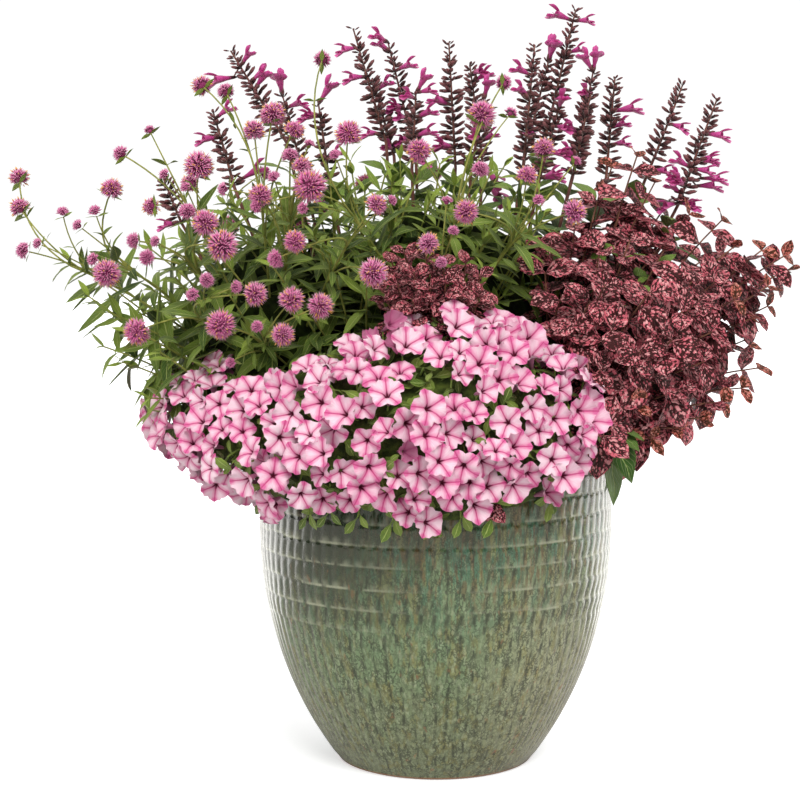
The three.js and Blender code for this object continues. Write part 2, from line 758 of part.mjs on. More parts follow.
// A salvia shoot that hangs over the rim at the right
const rimShoot = { angle: 52, fromAxis: 140, height: 34, leafLength: 78, leafWidth: 32 };
const shootFoot = around(radians(rimShoot.angle), rimShoot.fromAxis, soilTop);
const shootTop = shootFoot.clone().setZ(soilTop + rimShoot.height);
plantStem('salvia_rim_shoot', shootFoot.x, shootFoot.y, shootTop, 3);
for (const [angle, droop] of [[46, 0.7], [60, 0.9]]) {
  const heading = around(radians(angle), 1, 0.5).normalize();
  const root = shootTop.clone().addScaledVector(up, -2);
  const leaf = (turn, grow) => {
    const way = heading.clone().applyAxisAngle(up, turn);
    return blade(root, way, rimShoot.leafLength, rimShoot.leafWidth, droop, grow);
  };
  standClear('salvia_rim_shoot', [0, 0.3, -0.3].map((more) => (grow) => leaf(more, grow)));
}

// Petunia blooms in rows up each mound, and a few leaves between them
petuniaMounds.forEach((mound, m) => {
  const name = `petunia_${m + 1}`;
  const curve = skirtCurve(mound);
  const rows = Math.round(curve.getLength() / rowPitch);
  for (let row = 0; row <= rows; row += 1) {
    const u = 0.03 + (0.92 * row) / rows;
    const point = curve.getPointAt(u);
    const along = curve.getTangentAt(u);
    const columns = row % 2 ? 2 : 3;
    for (let c = 0; c < columns; c += 1) {
      const seed = m * 50 + row * 4 + c;
      const offset = (c - (columns - 1) / 2) * 8 + spread(seed, 1, -0.6, 0.6);
      const angle = radians(petuniaStart + petuniaTurn * m + offset);
      const lift = spread(seed, 2, -3, 3);
      const centre = around(angle, point.x + along.y * lift, point.y - along.x * lift);
      const facing = around(angle + spread(seed, 3, -0.25, 0.25), along.y + 0.25, -along.x).normalize();
      const size = bloomDiameter * spread(seed, 4, 0.86, 1.02);
      standClear(name, [1, 0.86, 0.74, 0.62].map((share) => (grow) => (
        bloom(centre, facing, size * share, spread(seed, 5, 0, 6), grow))));
    }
  }
});

// Parts, with their colours

addPart('pot', standing.get('pot')[0].solid, '#4f6a4f', 0.2);
addPart('soil', soil, '#3a2a1e', 0.95);
const colours = {
  petunia: '#eea3c8',
  amaranth_foliage: '#47682f',
  amaranth_flowers: '#c8429a',
  salvia_foliage: '#4d7034',
  salvia_spike: '#4b2233',
  salvia_rim: '#4d7034',
  polka_dot: '#7c2f3e',
};
for (const name of standing.keys()) {
  if (name === 'pot') continue;
  const family = Object.keys(colours).find((prefix) => name.startsWith(prefix));
  addPart(name, fused(name), colours[family], 0.6);
}

export default group;
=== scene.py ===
# A glazed pot packed with globe amaranth, salvia, polka dot plant and petunias
import bmesh
import bpy
import math
import random
from mathutils import Matrix, Vector


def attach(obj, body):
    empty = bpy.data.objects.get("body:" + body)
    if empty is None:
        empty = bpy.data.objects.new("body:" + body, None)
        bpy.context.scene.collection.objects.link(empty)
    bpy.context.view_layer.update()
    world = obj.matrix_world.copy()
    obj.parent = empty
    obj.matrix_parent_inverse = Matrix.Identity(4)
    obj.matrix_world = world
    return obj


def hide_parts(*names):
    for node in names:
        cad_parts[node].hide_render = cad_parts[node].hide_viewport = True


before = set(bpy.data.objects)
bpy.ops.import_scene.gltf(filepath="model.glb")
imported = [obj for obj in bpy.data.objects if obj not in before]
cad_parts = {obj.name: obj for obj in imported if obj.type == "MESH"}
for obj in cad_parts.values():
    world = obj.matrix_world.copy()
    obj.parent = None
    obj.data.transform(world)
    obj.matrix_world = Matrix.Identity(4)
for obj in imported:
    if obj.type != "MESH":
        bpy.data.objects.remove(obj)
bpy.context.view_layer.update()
print("frame loaded")

mm = 0.001
fullTurn = 2 * math.pi
anyTurn = (0, 6.28)
anyHalfTurn = (0, 3.1)
up = Vector((0, 0, 1))
sideways = Vector((1, 0, 0))
turnStep = math.pi * (3 - math.sqrt(5))

# The camera stands where the photograph was taken from
view = {"eye": Vector((-36, -1750, 500)), "down": 4.4, "lens": 77.5}
tilt = math.radians(view["down"])
picture = {"middle": 400, "reach": view["lens"] / 36 * 800}


def wobble(seed, i):  # a repeatable scatter between 0 and 1
    wave = math.sin(i * 12.9898 + seed * 78.233) * 43758.5453
    return wave - math.floor(wave)


def spread(seed, i, low, high):
    return low + (high - low) * wobble(seed, i)


def seenAt(x, z, y):  # a place in the pot's middle plane, carried along the line of sight to depth y
    eye = view["eye"]
    return eye + (Vector((x, 0, z)) - eye) * (y - eye.y) / -eye.y


def picturedAt(place):  # where a place shows in a picture 800 wide and 800 high
    arm = place - view["eye"]
    deep = arm.y * math.cos(tilt) - arm.z * math.sin(tilt)
    rise = arm.z * math.cos(tilt) + arm.y * math.sin(tilt)
    middle, reach = picture["middle"], picture["reach"]
    return middle + arm.x / deep * reach, middle - rise / deep * reach


def fromPicture(across, below, y):  # the place at depth y that shows there
    right = (across - picture["middle"]) / picture["reach"]
    drop = (below - picture["middle"]) / picture["reach"]
    ray = Vector((right, math.cos(tilt) - drop * math.sin(tilt), -math.sin(tilt) - drop * math.cos(tilt)))
    return view["eye"] + ray * (y - view["eye"].y) / ray.y


def insideOutline(outline, across, below):
    inside = False
    for (x1, y1), (x2, y2) in zip(outline, outline[1:] + outline[:1]):
        if (y1 > below) != (y2 > below) and across < x1 + (below - y1) / (y2 - y1) * (x2 - x1):
            inside = not inside
    return inside


def around(angle, radius, z):  # angles run from the front towards the right
    return Vector((radius * math.sin(angle), -radius * math.cos(angle), z))


def squareTo(heading):
    return heading.cross(sideways if abs(heading.z) > 0.9 else up).normalized()


def spun(heading, angle):  # the way square to a heading, turned round it
    return Matrix.Rotation(angle, 3, heading) @ squareTo(heading)


def curved(start, middle, end, steps):
    shares = [k / steps for k in range(steps + 1)]
    return [start * (1 - s) ** 2 + middle * 2 * s * (1 - s) + end * s * s for s in shares]


def arched(start, end, lift, steps=8):  # points on a curve from start to end that bows upwards
    return curved(start, start.lerp(end, 0.5) + up * lift * (end - start).length, end, steps)


# Node helpers, for materials and for Geometry Nodes

class Wire:  # a node's output; sums and products of wires add the nodes that work them out
    def __init__(self, socket):
        self.socket = socket
        self.tree = socket.id_data

    def __add__(self, other):
        return calc("ADD", self, other)

    def __sub__(self, other):
        return calc("SUBTRACT", self, other)

    def __rsub__(self, other):
        return calc("SUBTRACT", other, self)

    def __mul__(self, other):
        return calc("MULTIPLY", self, other)

    def __truediv__(self, other):
        return calc("DIVIDE", self, other)

    def __pow__(self, other):
        return calc("POWER", self, other)

    def __abs__(self):
        return calc("ABSOLUTE", self)


def feed(socket, value):
    if isinstance(value, Wire):
        value.tree.links.new(value.socket, socket)
    else:
        socket.default_value = value


def addNode(tree, kind, inputs=None, out=0, **settings):  # gives the wire of one output, or of several
    node = tree.nodes.new(kind)
    for key, value in settings.items():
        setattr(node, key, value)
    for socket, value in (inputs or {}).items():
        feed(node.inputs[socket], value)
    if isinstance(out, tuple):
        return [Wire(node.outputs[name]) for name in out]
    return Wire(node.outputs[out])


def calc(operation, *values):
    tree = next(value.tree for value in values if isinstance(value, Wire))
    return addNode(tree, "ShaderNodeMath", dict(enumerate(values)), operation=operation)


def smooth(value, low, high):  # 0 below low, 1 above high
    inputs = {"Value": value, "From Min": low, "From Max": high}
    return addNode(value.tree, "ShaderNodeMapRange", inputs, interpolation_type="SMOOTHSTEP")


def mixed(factor, first, second):
    return addNode(factor.tree, "ShaderNodeMix", {0: factor, 6: first, 7: second}, out=2, data_type="RGBA")


def layered(tone, colours, layers):  # each layer is how far its colour covers what is below it
    for factor, name in layers:
        tone = mixed(factor, tone, colours[name])
    return tone


def colour(*parts):  # a screen colour from 0 to 255, as Blender's linear one
    shares = [part / 255 for part in parts]
    return (*[c / 12.92 if c <= 0.04045 else ((c + 0.055) / 1.055) ** 2.4 for c in shares], 1)


def noiseAt(place, scale, detail=3, rough=0.55, out=0):
    inputs = {"Vector": place, "Scale": scale, "Detail": detail, "Roughness": rough}
    return addNode(place.tree, "ShaderNodeTexNoise", inputs, out)


def vectorOf(x, y, z=0.0):
    return addNode(x.tree, "ShaderNodeCombineXYZ", {0: x, 1: y, 2: z})


def partsOf(vector):
    return addNode(vector.tree, "ShaderNodeSeparateXYZ", {0: vector}, out=(0, 1, 2))


def scaled(vector, scale):
    return addNode(vector.tree, "ShaderNodeVectorMath", {0: vector, "Scale": scale}, operation="SCALE")


def shifted(vector, step):
    return addNode(vector.tree, "ShaderNodeVectorMath", {0: vector, 1: step}, operation="ADD")


def newMaterial(name, roughness, **constants):
    material = bpy.data.materials.new(name)
    material.use_nodes = True
    shader = material.node_tree.nodes["Principled BSDF"]
    shader.inputs["Roughness"].default_value = roughness
    for key, value in constants.items():
        shader.inputs[key.replace("_", " ")].default_value = value
    return material, material.node_tree


def painted(material, tone, height, distance, strength=1.0):
    tree = material.node_tree
    shader = tree.nodes["Principled BSDF"]
    feed(shader.inputs["Base Color"], tone)
    bump = {"Height": height, "Distance": distance, "Strength": strength}
    feed(shader.inputs["Normal"], addNode(tree, "ShaderNodeBump", bump))
    return material


def uvParts(tree):
    return partsOf(addNode(tree, "ShaderNodeUVMap", uv_map="UVMap"))[:2]


def objectPlace(tree):
    return addNode(tree, "ShaderNodeTexCoord", out="Object")


def pieceValue(tree, name):  # a number that each repeat carries
    return addNode(tree, "ShaderNodeAttribute", out="Fac", attribute_name=name)


# Materials

def makeLeafMaterial(name, finish):
    material, tree = newMaterial(name, finish["roughness"], Sheen_Weight=finish["sheen"])
    u, v = uvParts(tree)
    across = abs(u - 0.5)
    wave = abs(calc("FRACT", (v - across * finish["slant"]) * finish["veins"]) - 0.5)
    sideVein = 1.0 - smooth(wave, 0.02, 0.16)
    midrib = 1.0 - smooth(across, finish["midrib"], finish["midrib"] * 2.2)
    shade = noiseAt(objectPlace(tree), 60, 4) * 0.7 + (pieceValue(tree, "tint") * 0.9 - 0.45)
    tone = layered(finish["dark"], finish, [
        (shade, "light"),
        (pieceValue(tree, "age") * 0.85, "young"),
        (sideVein * finish["veinShow"], "vein"),
        (midrib * 0.8, "vein"),
        (smooth(across, 0.43, 0.5) * 0.6, "edge"),
    ])
    return painted(material, tone, sideVein * -1.0 + midrib * -1.2, finish["relief"])


def makePlainPlantMaterial(name, low, high, roughness=0.5, sheen=0.1, scale=90, relief=0.0002):
    material, tree = newMaterial(name, roughness, Sheen_Weight=sheen)
    place = objectPlace(tree)
    tone = mixed(smooth(noiseAt(place, scale, 4), 0.3, 0.7), low, high)
    return painted(material, tone, noiseAt(place, scale * 8), relief)


petunia = {
    "pale": colour(242, 214, 234),
    "pink": colour(218, 108, 168),
    "rib": colour(188, 46, 118),
    "throat": colour(104, 10, 54),
    "tube": colour(190, 116, 156),
    "wilted": colour(186, 100, 148),
}


def makePetuniaMaterial():
    material, tree = newMaterial("petuniaPetal", 0.5, Sheen_Weight=0.12)
    u, v = uvParts(tree)
    x, y = u * 2.0 - 1.0, v * 2.0 - 1.0
    radius = calc("SQRT", x * x + y * y)
    turn = calc("ARCTAN2", y, x)
    fromRib = calc("FRACT", turn * (5 / fullTurn) + 5.5) - 0.5
    aside = abs(fromRib * (fullTurn / 5) * radius)
    tint = pieceValue(tree, "tint")
    streak = noiseAt(vectorOf(turn * 6.0, radius * 1.2, tint), 2.2, 4, 0.6)
    wash = 1.0 - smooth(aside, 0.0, 0.34)
    rim = smooth(radius, 0.66, 1.0) * (wash * 0.6 + 0.25)
    rib = 1.0 - smooth(aside, 0.0, 0.075)
    tone = layered(petunia["pale"], petunia, [
        (wash * 0.7 + rim + (streak * 0.9 - 0.45) + (tint * 0.4 - 0.14), "pink"),
        (rib * 0.85, "rib"),
        (1.0 - smooth(radius * (abs(fromRib) * 2.2 + 0.8), 0.14, 0.3), "throat"),
        (pieceValue(tree, "tube"), "tube"),
        (pieceValue(tree, "age") * 0.8, "wilted"),
    ])
    return painted(material, tone, streak - rib, 0.0003, 0.7)


amaranth = {
    "tip": colour(252, 200, 230),
    "middle": colour(224, 102, 176),
    "heart": colour(118, 18, 80),
    "floret": colour(250, 190, 96),
    "floretRoot": colour(206, 84, 130),
}


def makeBractMaterial(name, root, middle, tip):
    material, tree = newMaterial(name, 0.5, Sheen_Weight=0.3)
    _, v = uvParts(tree)
    whole = mixed(smooth(v, 0.55, 0.95), mixed(smooth(v, 0.25, 0.66), root, middle), tip)
    tone = mixed(pieceValue(tree, "tint") * 0.35, whole, middle)
    return painted(material, tone, calc("SINE", v * 40.0), 0.0001, 0.4)


salvia = {
    "calyx": colour(54, 24, 30),
    "calyxLight": colour(134, 84, 90),
    "flower": colour(184, 46, 136),
    "lip": colour(222, 98, 180),
}


def makeSalviaMaterial(name, root, tip, sheen):
    material, tree = newMaterial(name, 0.5, Sheen_Weight=sheen)
    _, v = uvParts(tree)
    ribs = noiseAt(objectPlace(tree), 420)
    shade = smooth(v, 0.15, 1.0) + (ribs * 0.8 - 0.4) + (pieceValue(tree, "tint") * 0.5 - 0.25)
    return painted(material, mixed(shade, root, tip), ribs, 0.0004, 0.8)


polkaDot = {
    "dark": colour(62, 24, 28),
    "young": colour(84, 46, 24),
    "pink": colour(210, 102, 122),
    "paleSplash": colour(234, 170, 178),
    "youngSplash": colour(214, 128, 84),
    "vein": colour(48, 26, 28),
}


def makePolkaMaterial():
    material, tree = newMaterial("polkaDotLeaf", 0.46, Sheen_Weight=0.0)
    u, v = uvParts(tree)
    tint, young = pieceValue(tree, "tint"), pieceValue(tree, "age")
    aside = u - 0.5
    across = abs(aside)
    shift = tint * 37.0
    coarse = young * -0.45 + 1.0
    raw = vectorOf(aside * 9.0 * coarse + shift, (v - across * 0.25) * 13.0 * coarse, shift)
    place = shifted(raw, scaled(noiseAt(raw, 1.6, 2, 0.5, out=1), 0.9))
    outs = ("Distance", "Color")
    fromMiddle, chance = addNode(tree, "ShaderNodeTexVoronoi", {"Vector": place, "Scale": 1.0}, outs)
    cell = addNode(tree, "ShaderNodeSeparateColor", {0: chance})
    size = cell * 0.5 + 0.05 + across * 0.35 + tint * 0.18  # some leaves are pinker than others
    ragged = fromMiddle - size + (noiseAt(raw, 5.0) * 0.5 - 0.25)
    pale = mixed(smooth(cell, 0.6, 1.0), polkaDot["pink"], polkaDot["paleSplash"])
    splash = mixed(young * 0.5, pale, polkaDot["youngSplash"])
    ground = mixed(young, polkaDot["dark"], polkaDot["young"])
    midrib = 1.0 - smooth(across, 0.014, 0.04)
    tone = mixed(midrib * 0.85, mixed(1.0 - smooth(ragged, -0.09, 0.05), ground, splash), polkaDot["vein"])
    return painted(material, tone, calc("SINE", (v - across * 0.8) * 44.0) - midrib * 2.0, 0.0004, 0.8)


glaze = {
    "top": colour(66, 82, 50),
    "middle": colour(116, 142, 106),
    "foot": colour(132, 144, 112),
    "olive": colour(134, 128, 70),
    "brown": colour(112, 84, 54),
    "pale": colour(172, 184, 156),
    "teal": colour(66, 118, 96),
    # painted shade for the wall's upper left
    "deep": colour(30, 44, 28),
    "crack": colour(34, 44, 26),
    # painted sheen for the wall's lower right
    "paintedRightSheen": colour(186, 184, 152),
    # painted highlight colour for the glints on the bands
    "ledge": colour(186, 192, 170),
    "rust": colour(158, 100, 66),
    "bare": colour(176, 128, 96),
    "height": 0.322,
    "dripsAt": 0.1745,
}


def makeGlazeMaterial():
    material, tree = newMaterial("potGlaze", 0.2, Coat_Weight=1.0, Coat_Roughness=0.04, Coat_IOR=1.5)
    place = objectPlace(tree)
    x, y, z = partsOf(place)

    def drawn(stretch):  # the same place with its height squeezed, so that a pattern runs down the wall
        return vectorOf(x, y, z * stretch)

    def patches(stretch, scale, low, high, most, detail=4):
        return smooth(noiseAt(drawn(stretch), scale, detail), low, high) * most

    share = z * (1 / glaze["height"])
    upper = smooth(share, 0.35, 0.75)
    lower = 1.0 - upper * 0.7
    level = share + (noiseAt(drawn(0.12), 70, 5, 0.65) * 0.7 - 0.35)

    # crackle, and dark strokes in the flutes and along one row of drips
    pushed = scaled(noiseAt(place, 260.0, 3, 0.5, out=1), 0.009)
    inputs = {"Vector": shifted(drawn(0.4), pushed), "Scale": 215.0}
    cells = addNode(tree, "ShaderNodeTexVoronoi", inputs, "Distance", feature="DISTANCE_TO_EDGE")
    crackled = (1.0 - smooth(cells, 0.03, 0.2)) * (patches(0.5, 90, 0.4, 0.6, 0.4) + 0.3)
    valley = smooth(pieceValue(tree, "valley"), 0.12, 0.7)
    drips = 1.0 - smooth(abs(z - glaze["dripsAt"]), 0.002, 0.012)
    strokes = smooth(noiseAt(drawn(0.22), 300, 3, 0.6), 0.47, 0.57)
    inValley = calc("MAXIMUM", valley * (strokes * 0.65 + 0.12), drips * valley * 0.8)
    strokeShow = calc("MAXIMUM", inValley, strokes * 0.16)

    # pale glints on the ledges, strongest at both sides, and the unglazed edge of the foot
    aside = smooth(abs(x), 0.01, 0.12) * 0.85 + 0.08
    broken = smooth(noiseAt(drawn(0.5), 60), 0.36, 0.56) * 0.7
    bare = 1.0 - smooth(z, 0.0015, 0.0035)

    tone = layered(glaze["foot"], glaze, [
        (smooth(level, 0.1, 0.5), "middle"),
        (smooth(level, 0.5, 0.85), "top"),
        # painted sheen: the lower right of the wall paler
        (smooth(x, 0.0, 0.12) * lower * 0.65, "paintedRightSheen"),
        (patches(0.15, 150, 0.44, 0.58, 0.8) * upper, "teal"),
        (patches(0.15, 120, 0.5, 0.62, 0.55), "olive"),
        (patches(0.22, 260, 0.5, 0.62, 0.7) * upper, "brown"),
        (patches(0.3, 300, 0.5, 0.64, 0.45) * lower, "pale"),
        # painted shade: the upper left of the wall darker
        (smooth(x * -1.0, -0.02, 0.11) * upper * 0.93, "deep"),
        (crackled, "crack"),
        (strokeShow, "crack"),
        (smooth(pieceValue(tree, "ledge"), 0.1, 1.0) * aside * broken, "ledge"),
        (patches(0.4, 130, 0.62, 0.78, 0.7, 3) * (1.0 - smooth(share, 0.1, 1.2)), "rust"),
        (bare, "bare"),
    ])
    roughness = strokeShow * 0.2 + (bare * 0.5 + 0.2)
    feed(tree.nodes["Principled BSDF"].inputs["Roughness"], roughness)
    return painted(material, tone, noiseAt(drawn(0.3), 120) + crackled * -0.25, 0.0009, 0.6)


def makeSoilMaterial():
    material, tree = newMaterial("pottingSoil", 0.95)
    place = objectPlace(tree)
    crumb = noiseAt(place, 260, 6, 0.7)
    fibre = smooth(noiseAt(place, 900, 2), 0.62, 0.7)
    earth = mixed(smooth(crumb, 0.35, 0.65), colour(28, 19, 13), colour(74, 52, 36))
    return painted(material, mixed(fibre, earth, colour(150, 120, 86)), crumb, 0.002)


# Templates that Geometry Nodes repeat. Each grows along +Y with its upper face towards +Z

def meshObject(bm, name, material=None):
    mesh = bpy.data.meshes.new(name)
    bm.to_mesh(mesh)
    bm.free()
    if material:
        mesh.materials.append(material)
    return bpy.data.objects.new(name, mesh)


def newTemplate(name, bm, sharpAngle=1.3):
    bmesh.ops.remove_doubles(bm, verts=bm.verts, dist=1e-7)
    bmesh.ops.dissolve_degenerate(bm, edges=bm.edges, dist=1e-7)
    bmesh.ops.recalc_face_normals(bm, faces=bm.faces)
    for face in bm.faces:
        face.smooth = True
    for edge in bm.edges:
        if len(edge.link_faces) == 2 and edge.calc_face_angle(0) > sharpAngle:
            edge.smooth = False
    return meshObject(bm, name)


def uvLayerOf(bm):
    return bm.loops.layers.uv.get("UVMap") or bm.loops.layers.uv.new("UVMap")


def addFace(bm, uvLayer, corners):
    face = bm.faces.new([vertex for vertex, _ in corners])
    for loop, (_, uv) in zip(face.loops, corners):
        loop[uvLayer].uv = uv


def bladeShell(bm, rows, columns, place, thickness):  # a thin closed leaf, from points and normals
    uvLayer = uvLayerOf(bm)
    sides = []
    for way in (0.5, -0.5):
        grid = []
        for r in range(rows + 1):
            s = r / rows
            taper = min(1.0, 6 * s, 6 * (1 - s))
            line = []
            for c in range(columns + 1):
                t = 2 * c / columns - 1
                point, normal = place(s, t)
                line.append((bm.verts.new(point + normal * (way * thickness * taper)), (0.5 + t / 2, s)))
            grid.append(line)
        sides.append(grid)
    top, bottom = sides
    for r in range(rows):
        for c in range(columns):
            for grid in sides:
                addFace(bm, uvLayer, [grid[r][c], grid[r][c + 1], grid[r + 1][c + 1], grid[r + 1][c]])
        for c in (0, columns):
            addFace(bm, uvLayer, [top[r][c], bottom[r][c], bottom[r + 1][c], top[r + 1][c]])


def leafPlace(form, seed):
    length, width = form["length"] * mm, form["width"] * mm
    bend, fold, ripple = form["bend"], form["fold"], form["ripple"]
    petiole, teeth = form.get("petiole", 0.0), form.get("teeth", 0)
    straight = abs(bend) <= 1e-3

    def place(s, t):
        angle = bend * s
        along = length * (s if straight else math.sin(angle) / bend)
        down = -length * (0 if straight else (1 - math.cos(angle)) / bend)
        blade = max(0.0, (s - petiole) / (1 - petiole))
        fullness = form["rootFullness"] + (form["tipFullness"] - form["rootFullness"]) * blade
        shape = math.sin(math.pi * blade ** form["belly"]) ** fullness if 0 < blade < 1 else 0.0
        stalk = 0.0006 * min(1.0, 8 * (1 - s)) if s < 0.98 else 0.0
        half = max(width / 2 * shape, stalk)
        if teeth:
            half *= 1 + 0.07 * math.cos(teeth * math.pi * s)
        normal = Vector((0, math.sin(angle), math.cos(angle)))
        x = t * half
        lift = abs(x) * fold + ripple * mm * shape * math.sin(9 * s + seed + 2.1 * t) * t * t
        lift += form.get("crinkle", 0) * mm * shape * math.sin(26 * (s - 0.4 * abs(t))) * (1 - t * t)
        twist = form["twist"] * s
        point = Vector((x * math.cos(twist), along, down + x * math.sin(twist))) + normal * lift
        return point, (normal + Vector((-math.copysign(fold, t) if t else 0, 0, 0))).normalized()

    return place


def leafTemplates(name, form, bends):
    made = []
    for k, bend in enumerate(bends):
        bm = bmesh.new()
        twist = form.get("twist", 0.0) + 0.35 * (k - len(bends) / 2 + 0.5)
        place = leafPlace({**form, "bend": bend, "twist": twist}, k)
        bladeShell(bm, form["rows"], form["columns"], place, form["thickness"] * mm)
        made.append(newTemplate(f"{name}{k}", bm))
    return made


def revolveRings(bm, rings, sides, uvOf, tubeOf=None):  # each ring has a radius and a height function
    uvLayer = uvLayerOf(bm)
    tubeLayer = bm.verts.layers.float.get("tube") or bm.verts.layers.float.new("tube")
    grid = []
    for k, (radiusAt, heightAt) in enumerate(rings):
        line = []
        for i in range(sides):
            turn = fullTurn * i / sides
            radius = radiusAt(turn)
            vertex = bm.verts.new((radius * math.cos(turn), radius * math.sin(turn), heightAt(turn)))
            vertex[tubeLayer] = tubeOf(k) if tubeOf else 0.0
            line.append((vertex, uvOf(k, turn, radius)))
        grid.append(line)
    for low, high in zip(grid, grid[1:]):
        for i in range(sides):
            beside = (i + 1) % sides
            addFace(bm, uvLayer, [low[i], low[beside], high[beside], high[i]])


def revolved(bm, rows, sides, endOf):  # plain rings from rows of a radius and a height
    shaped = [(lambda turn, r=r: r, lambda turn, z=z: z) for r, z in rows]
    revolveRings(bm, shaped, sides, lambda k, turn, radius: (turn / fullTurn, endOf(k)))


def laidAlongY(bm):
    bmesh.ops.rotate(bm, verts=bm.verts, matrix=Matrix.Rotation(-math.pi / 2, 3, "X"))


bloomForm = {
    "radius": 16.8,
    "notch": 0.19,
    "point": 0.07,
    "sides": 30,
    "front": [(0.0, -11), (1.8, -9), (2.7, -6), (4.5, -3.2), (8.2, -1.3), (12.4, -0.2), (15.2, 0.0)],
    "edge": [(16.7, -0.45)],
    "back": [(14.9, -0.6), (10.5, -1.3), (5.4, -3.8), (3.6, -8), (2.6, -14), (1.5, -21), (0.0, -22)],
    "tubeAfter": 9,
}


def bloomTemplate(name, cup, ruffle, shrink=1.0):
    reach = bloomForm["radius"]

    def lobed(radius):
        share = (radius / reach) ** 3

        def radiusAt(turn):
            aside = abs((turn * 5 / fullTurn + 0.5) % 1 - 0.5) * 2
            point = bloomForm["point"] * math.exp(-(aside / 0.22) ** 2)
            ragged = 0.035 * math.sin(9 * turn + 5 * ruffle) + 0.025 * math.sin(14 * turn + 3 * cup)
            return radius * mm * shrink * (1 + share * (point + ragged - bloomForm["notch"] * aside ** 4))
        return radiusAt

    def height(radius, z):
        share = (radius / reach) ** 2

        def heightAt(turn):
            fold = math.cos(5 * turn) * 0.9 - 0.5 * math.cos(10 * turn)
            wave = ruffle * (math.sin(3 * turn + 1.7 * ruffle) + 0.5 * math.sin(7 * turn)) * share
            crimp = 0.6 * ruffle * math.sin(11 * turn + cup) * share * share
            return (z + cup * share * share - fold * share * 1.3 + wave + crimp) * mm
        return heightAt

    def uvOf(k, turn, radius):
        share = radius / (2 * reach * mm)
        return (0.5 + share * math.cos(turn), 0.5 + share * math.sin(turn))

    rings = [(lobed(r), height(r, z)) for side in ("front", "edge", "back") for r, z in bloomForm[side]]
    bm = bmesh.new()
    revolveRings(bm, rings, bloomForm["sides"], uvOf, lambda k: 1.0 if k > bloomForm["tubeAfter"] else 0.0)
    return newTemplate(name, bm)


def calyxTemplate():  # a pointed two-lipped bell on a short stalk, along +Y
    rings = [(0.35, 0), (1.4, 0.22), (2.15, 0.52), (1.75, 0.84), (0.0, 1.0)]
    length = 12
    bm = bmesh.new()
    shaped = []
    for radius, share in rings:
        shaped.append((
            lambda turn, r=radius: r * mm * (1 + 0.25 * math.cos(2 * turn)),
            lambda turn, s=share: (s * length + 0.6 * s * math.cos(3 * turn)) * mm,
        ))
    revolveRings(bm, shaped, 5, lambda k, turn, radius: (turn / fullTurn, rings[k][1]))
    laidAlongY(bm)
    return newTemplate("calyxBell", bm, 3.2)


trumpetForm = {
    "rings": [(0.0, 0), (1.3, 1), (1.9, 8), (3.1, 14), (3.6, 18), (2.6, 17.6), (1.4, 12), (0.0, 11)],
    "lips": [
        {"side": 0, "rise": 0.4, "length": 13, "width": 6.6, "from": (0, 15.5, 2.0), "curl": -0.25},
        {"side": 0, "rise": -0.75, "length": 12, "width": 11.0, "from": (0, 16.0, -2.0), "curl": 0.35},
        {"side": 1, "rise": -0.5, "length": 9, "width": 6.4, "from": (1.4, 17.0, -1.2), "curl": 0.3},
        {"side": -1, "rise": -0.5, "length": 9, "width": 6.4, "from": (-1.4, 17.0, -1.2), "curl": 0.4},
    ],
}


def lipPlace(lip):
    heading = Vector((lip["side"] * 0.8, 1, lip["rise"])).normalized()
    normal = heading.cross(Vector((0.8, -lip["side"], 0)) if lip["side"] else sideways).normalized()
    if normal.z < 0:
        normal = -normal
    side = heading.cross(normal)
    start = Vector(lip["from"]) * mm
    reach = lip["length"] * mm

    def place(s, t):
        half = lip["width"] / 2 * mm * (0.35 + 0.65 * math.sin(math.pi * min(s * 0.93, 1) ** 1.4) ** 0.7)
        if s > 0.99:
            half = 0.0
        point = start + heading * (s * reach) + normal * (lip["curl"] * s * s * reach * 0.5)
        return point + side * (t * half) + normal * (0.4 * half * t * t), normal

    return place


def trumpetTemplate():  # a two-lipped flower: a tube along +Y with a hood above and a lobed lip below
    bm = bmesh.new()
    rings = trumpetForm["rings"]
    revolved(bm, [(r * mm, z * mm) for r, z in rings], 8, lambda k: min(rings[k][1] / 30, 0.6))
    laidAlongY(bm)
    for lip in trumpetForm["lips"]:
        bladeShell(bm, 5, 2, lipPlace(lip), 0.5 * mm)
    return newTemplate("trumpetFlower", bm)


def bractTemplate():  # a narrow keeled bract of unit length along +Z, made by rings of three points
    bm = bmesh.new()
    rings = [(0.0, 0.0), (0.075, 0.5), (0.0, 1.0)]
    revolved(bm, rings, 3, lambda k: rings[k][1])
    return newTemplate("bract", bm, 3.2)


# Geometry Nodes trees

def newTree(name, **inputs):  # the names of its inputs by kind; a geometry comes first and a material last
    tree = bpy.data.node_groups.new(name, "GeometryNodeTree")
    tree.interface.new_socket("Geometry", in_out="OUTPUT", socket_type="NodeSocketGeometry")
    for kind, labels in {"Geometry": ["Geometry"], **inputs, "Material": ["Material"]}.items():
        for label in labels:
            tree.interface.new_socket(label, in_out="INPUT", socket_type=f"NodeSocket{kind}")
    given = {output.name: Wire(output) for output in tree.nodes.new("NodeGroupInput").outputs if output.name}
    return tree, given


def finishTree(tree, geometry, given):
    placed = addNode(tree, "GeometryNodeSetMaterial", {"Geometry": geometry, "Material": given["Material"]})
    feed(tree.nodes.new("NodeGroupOutput").inputs[0], placed)
    return tree


def named(tree, name, kind):
    return addNode(tree, "GeometryNodeInputNamedAttribute", {"Name": name}, data_type=kind)


def stored(geometry, name, value, domain="POINT"):
    inputs = {"Geometry": geometry, "Name": name, "Value": value}
    kind = "GeometryNodeStoreNamedAttribute"
    return addNode(geometry.tree, kind, inputs, data_type="FLOAT", domain=domain)


def randomValue(low, high, seed):
    inputs = {2: low, 3: high, "Seed": seed}
    return addNode(seed.tree, "FunctionNodeRandomValue", inputs, out=1, data_type="FLOAT")


def realized(geometry):
    return addNode(geometry.tree, "GeometryNodeRealizeInstances", {"Geometry": geometry})


def rounded(geometry):
    return addNode(geometry.tree, "GeometryNodeSetShadeSmooth", {0: geometry, "Shade Smooth": True})


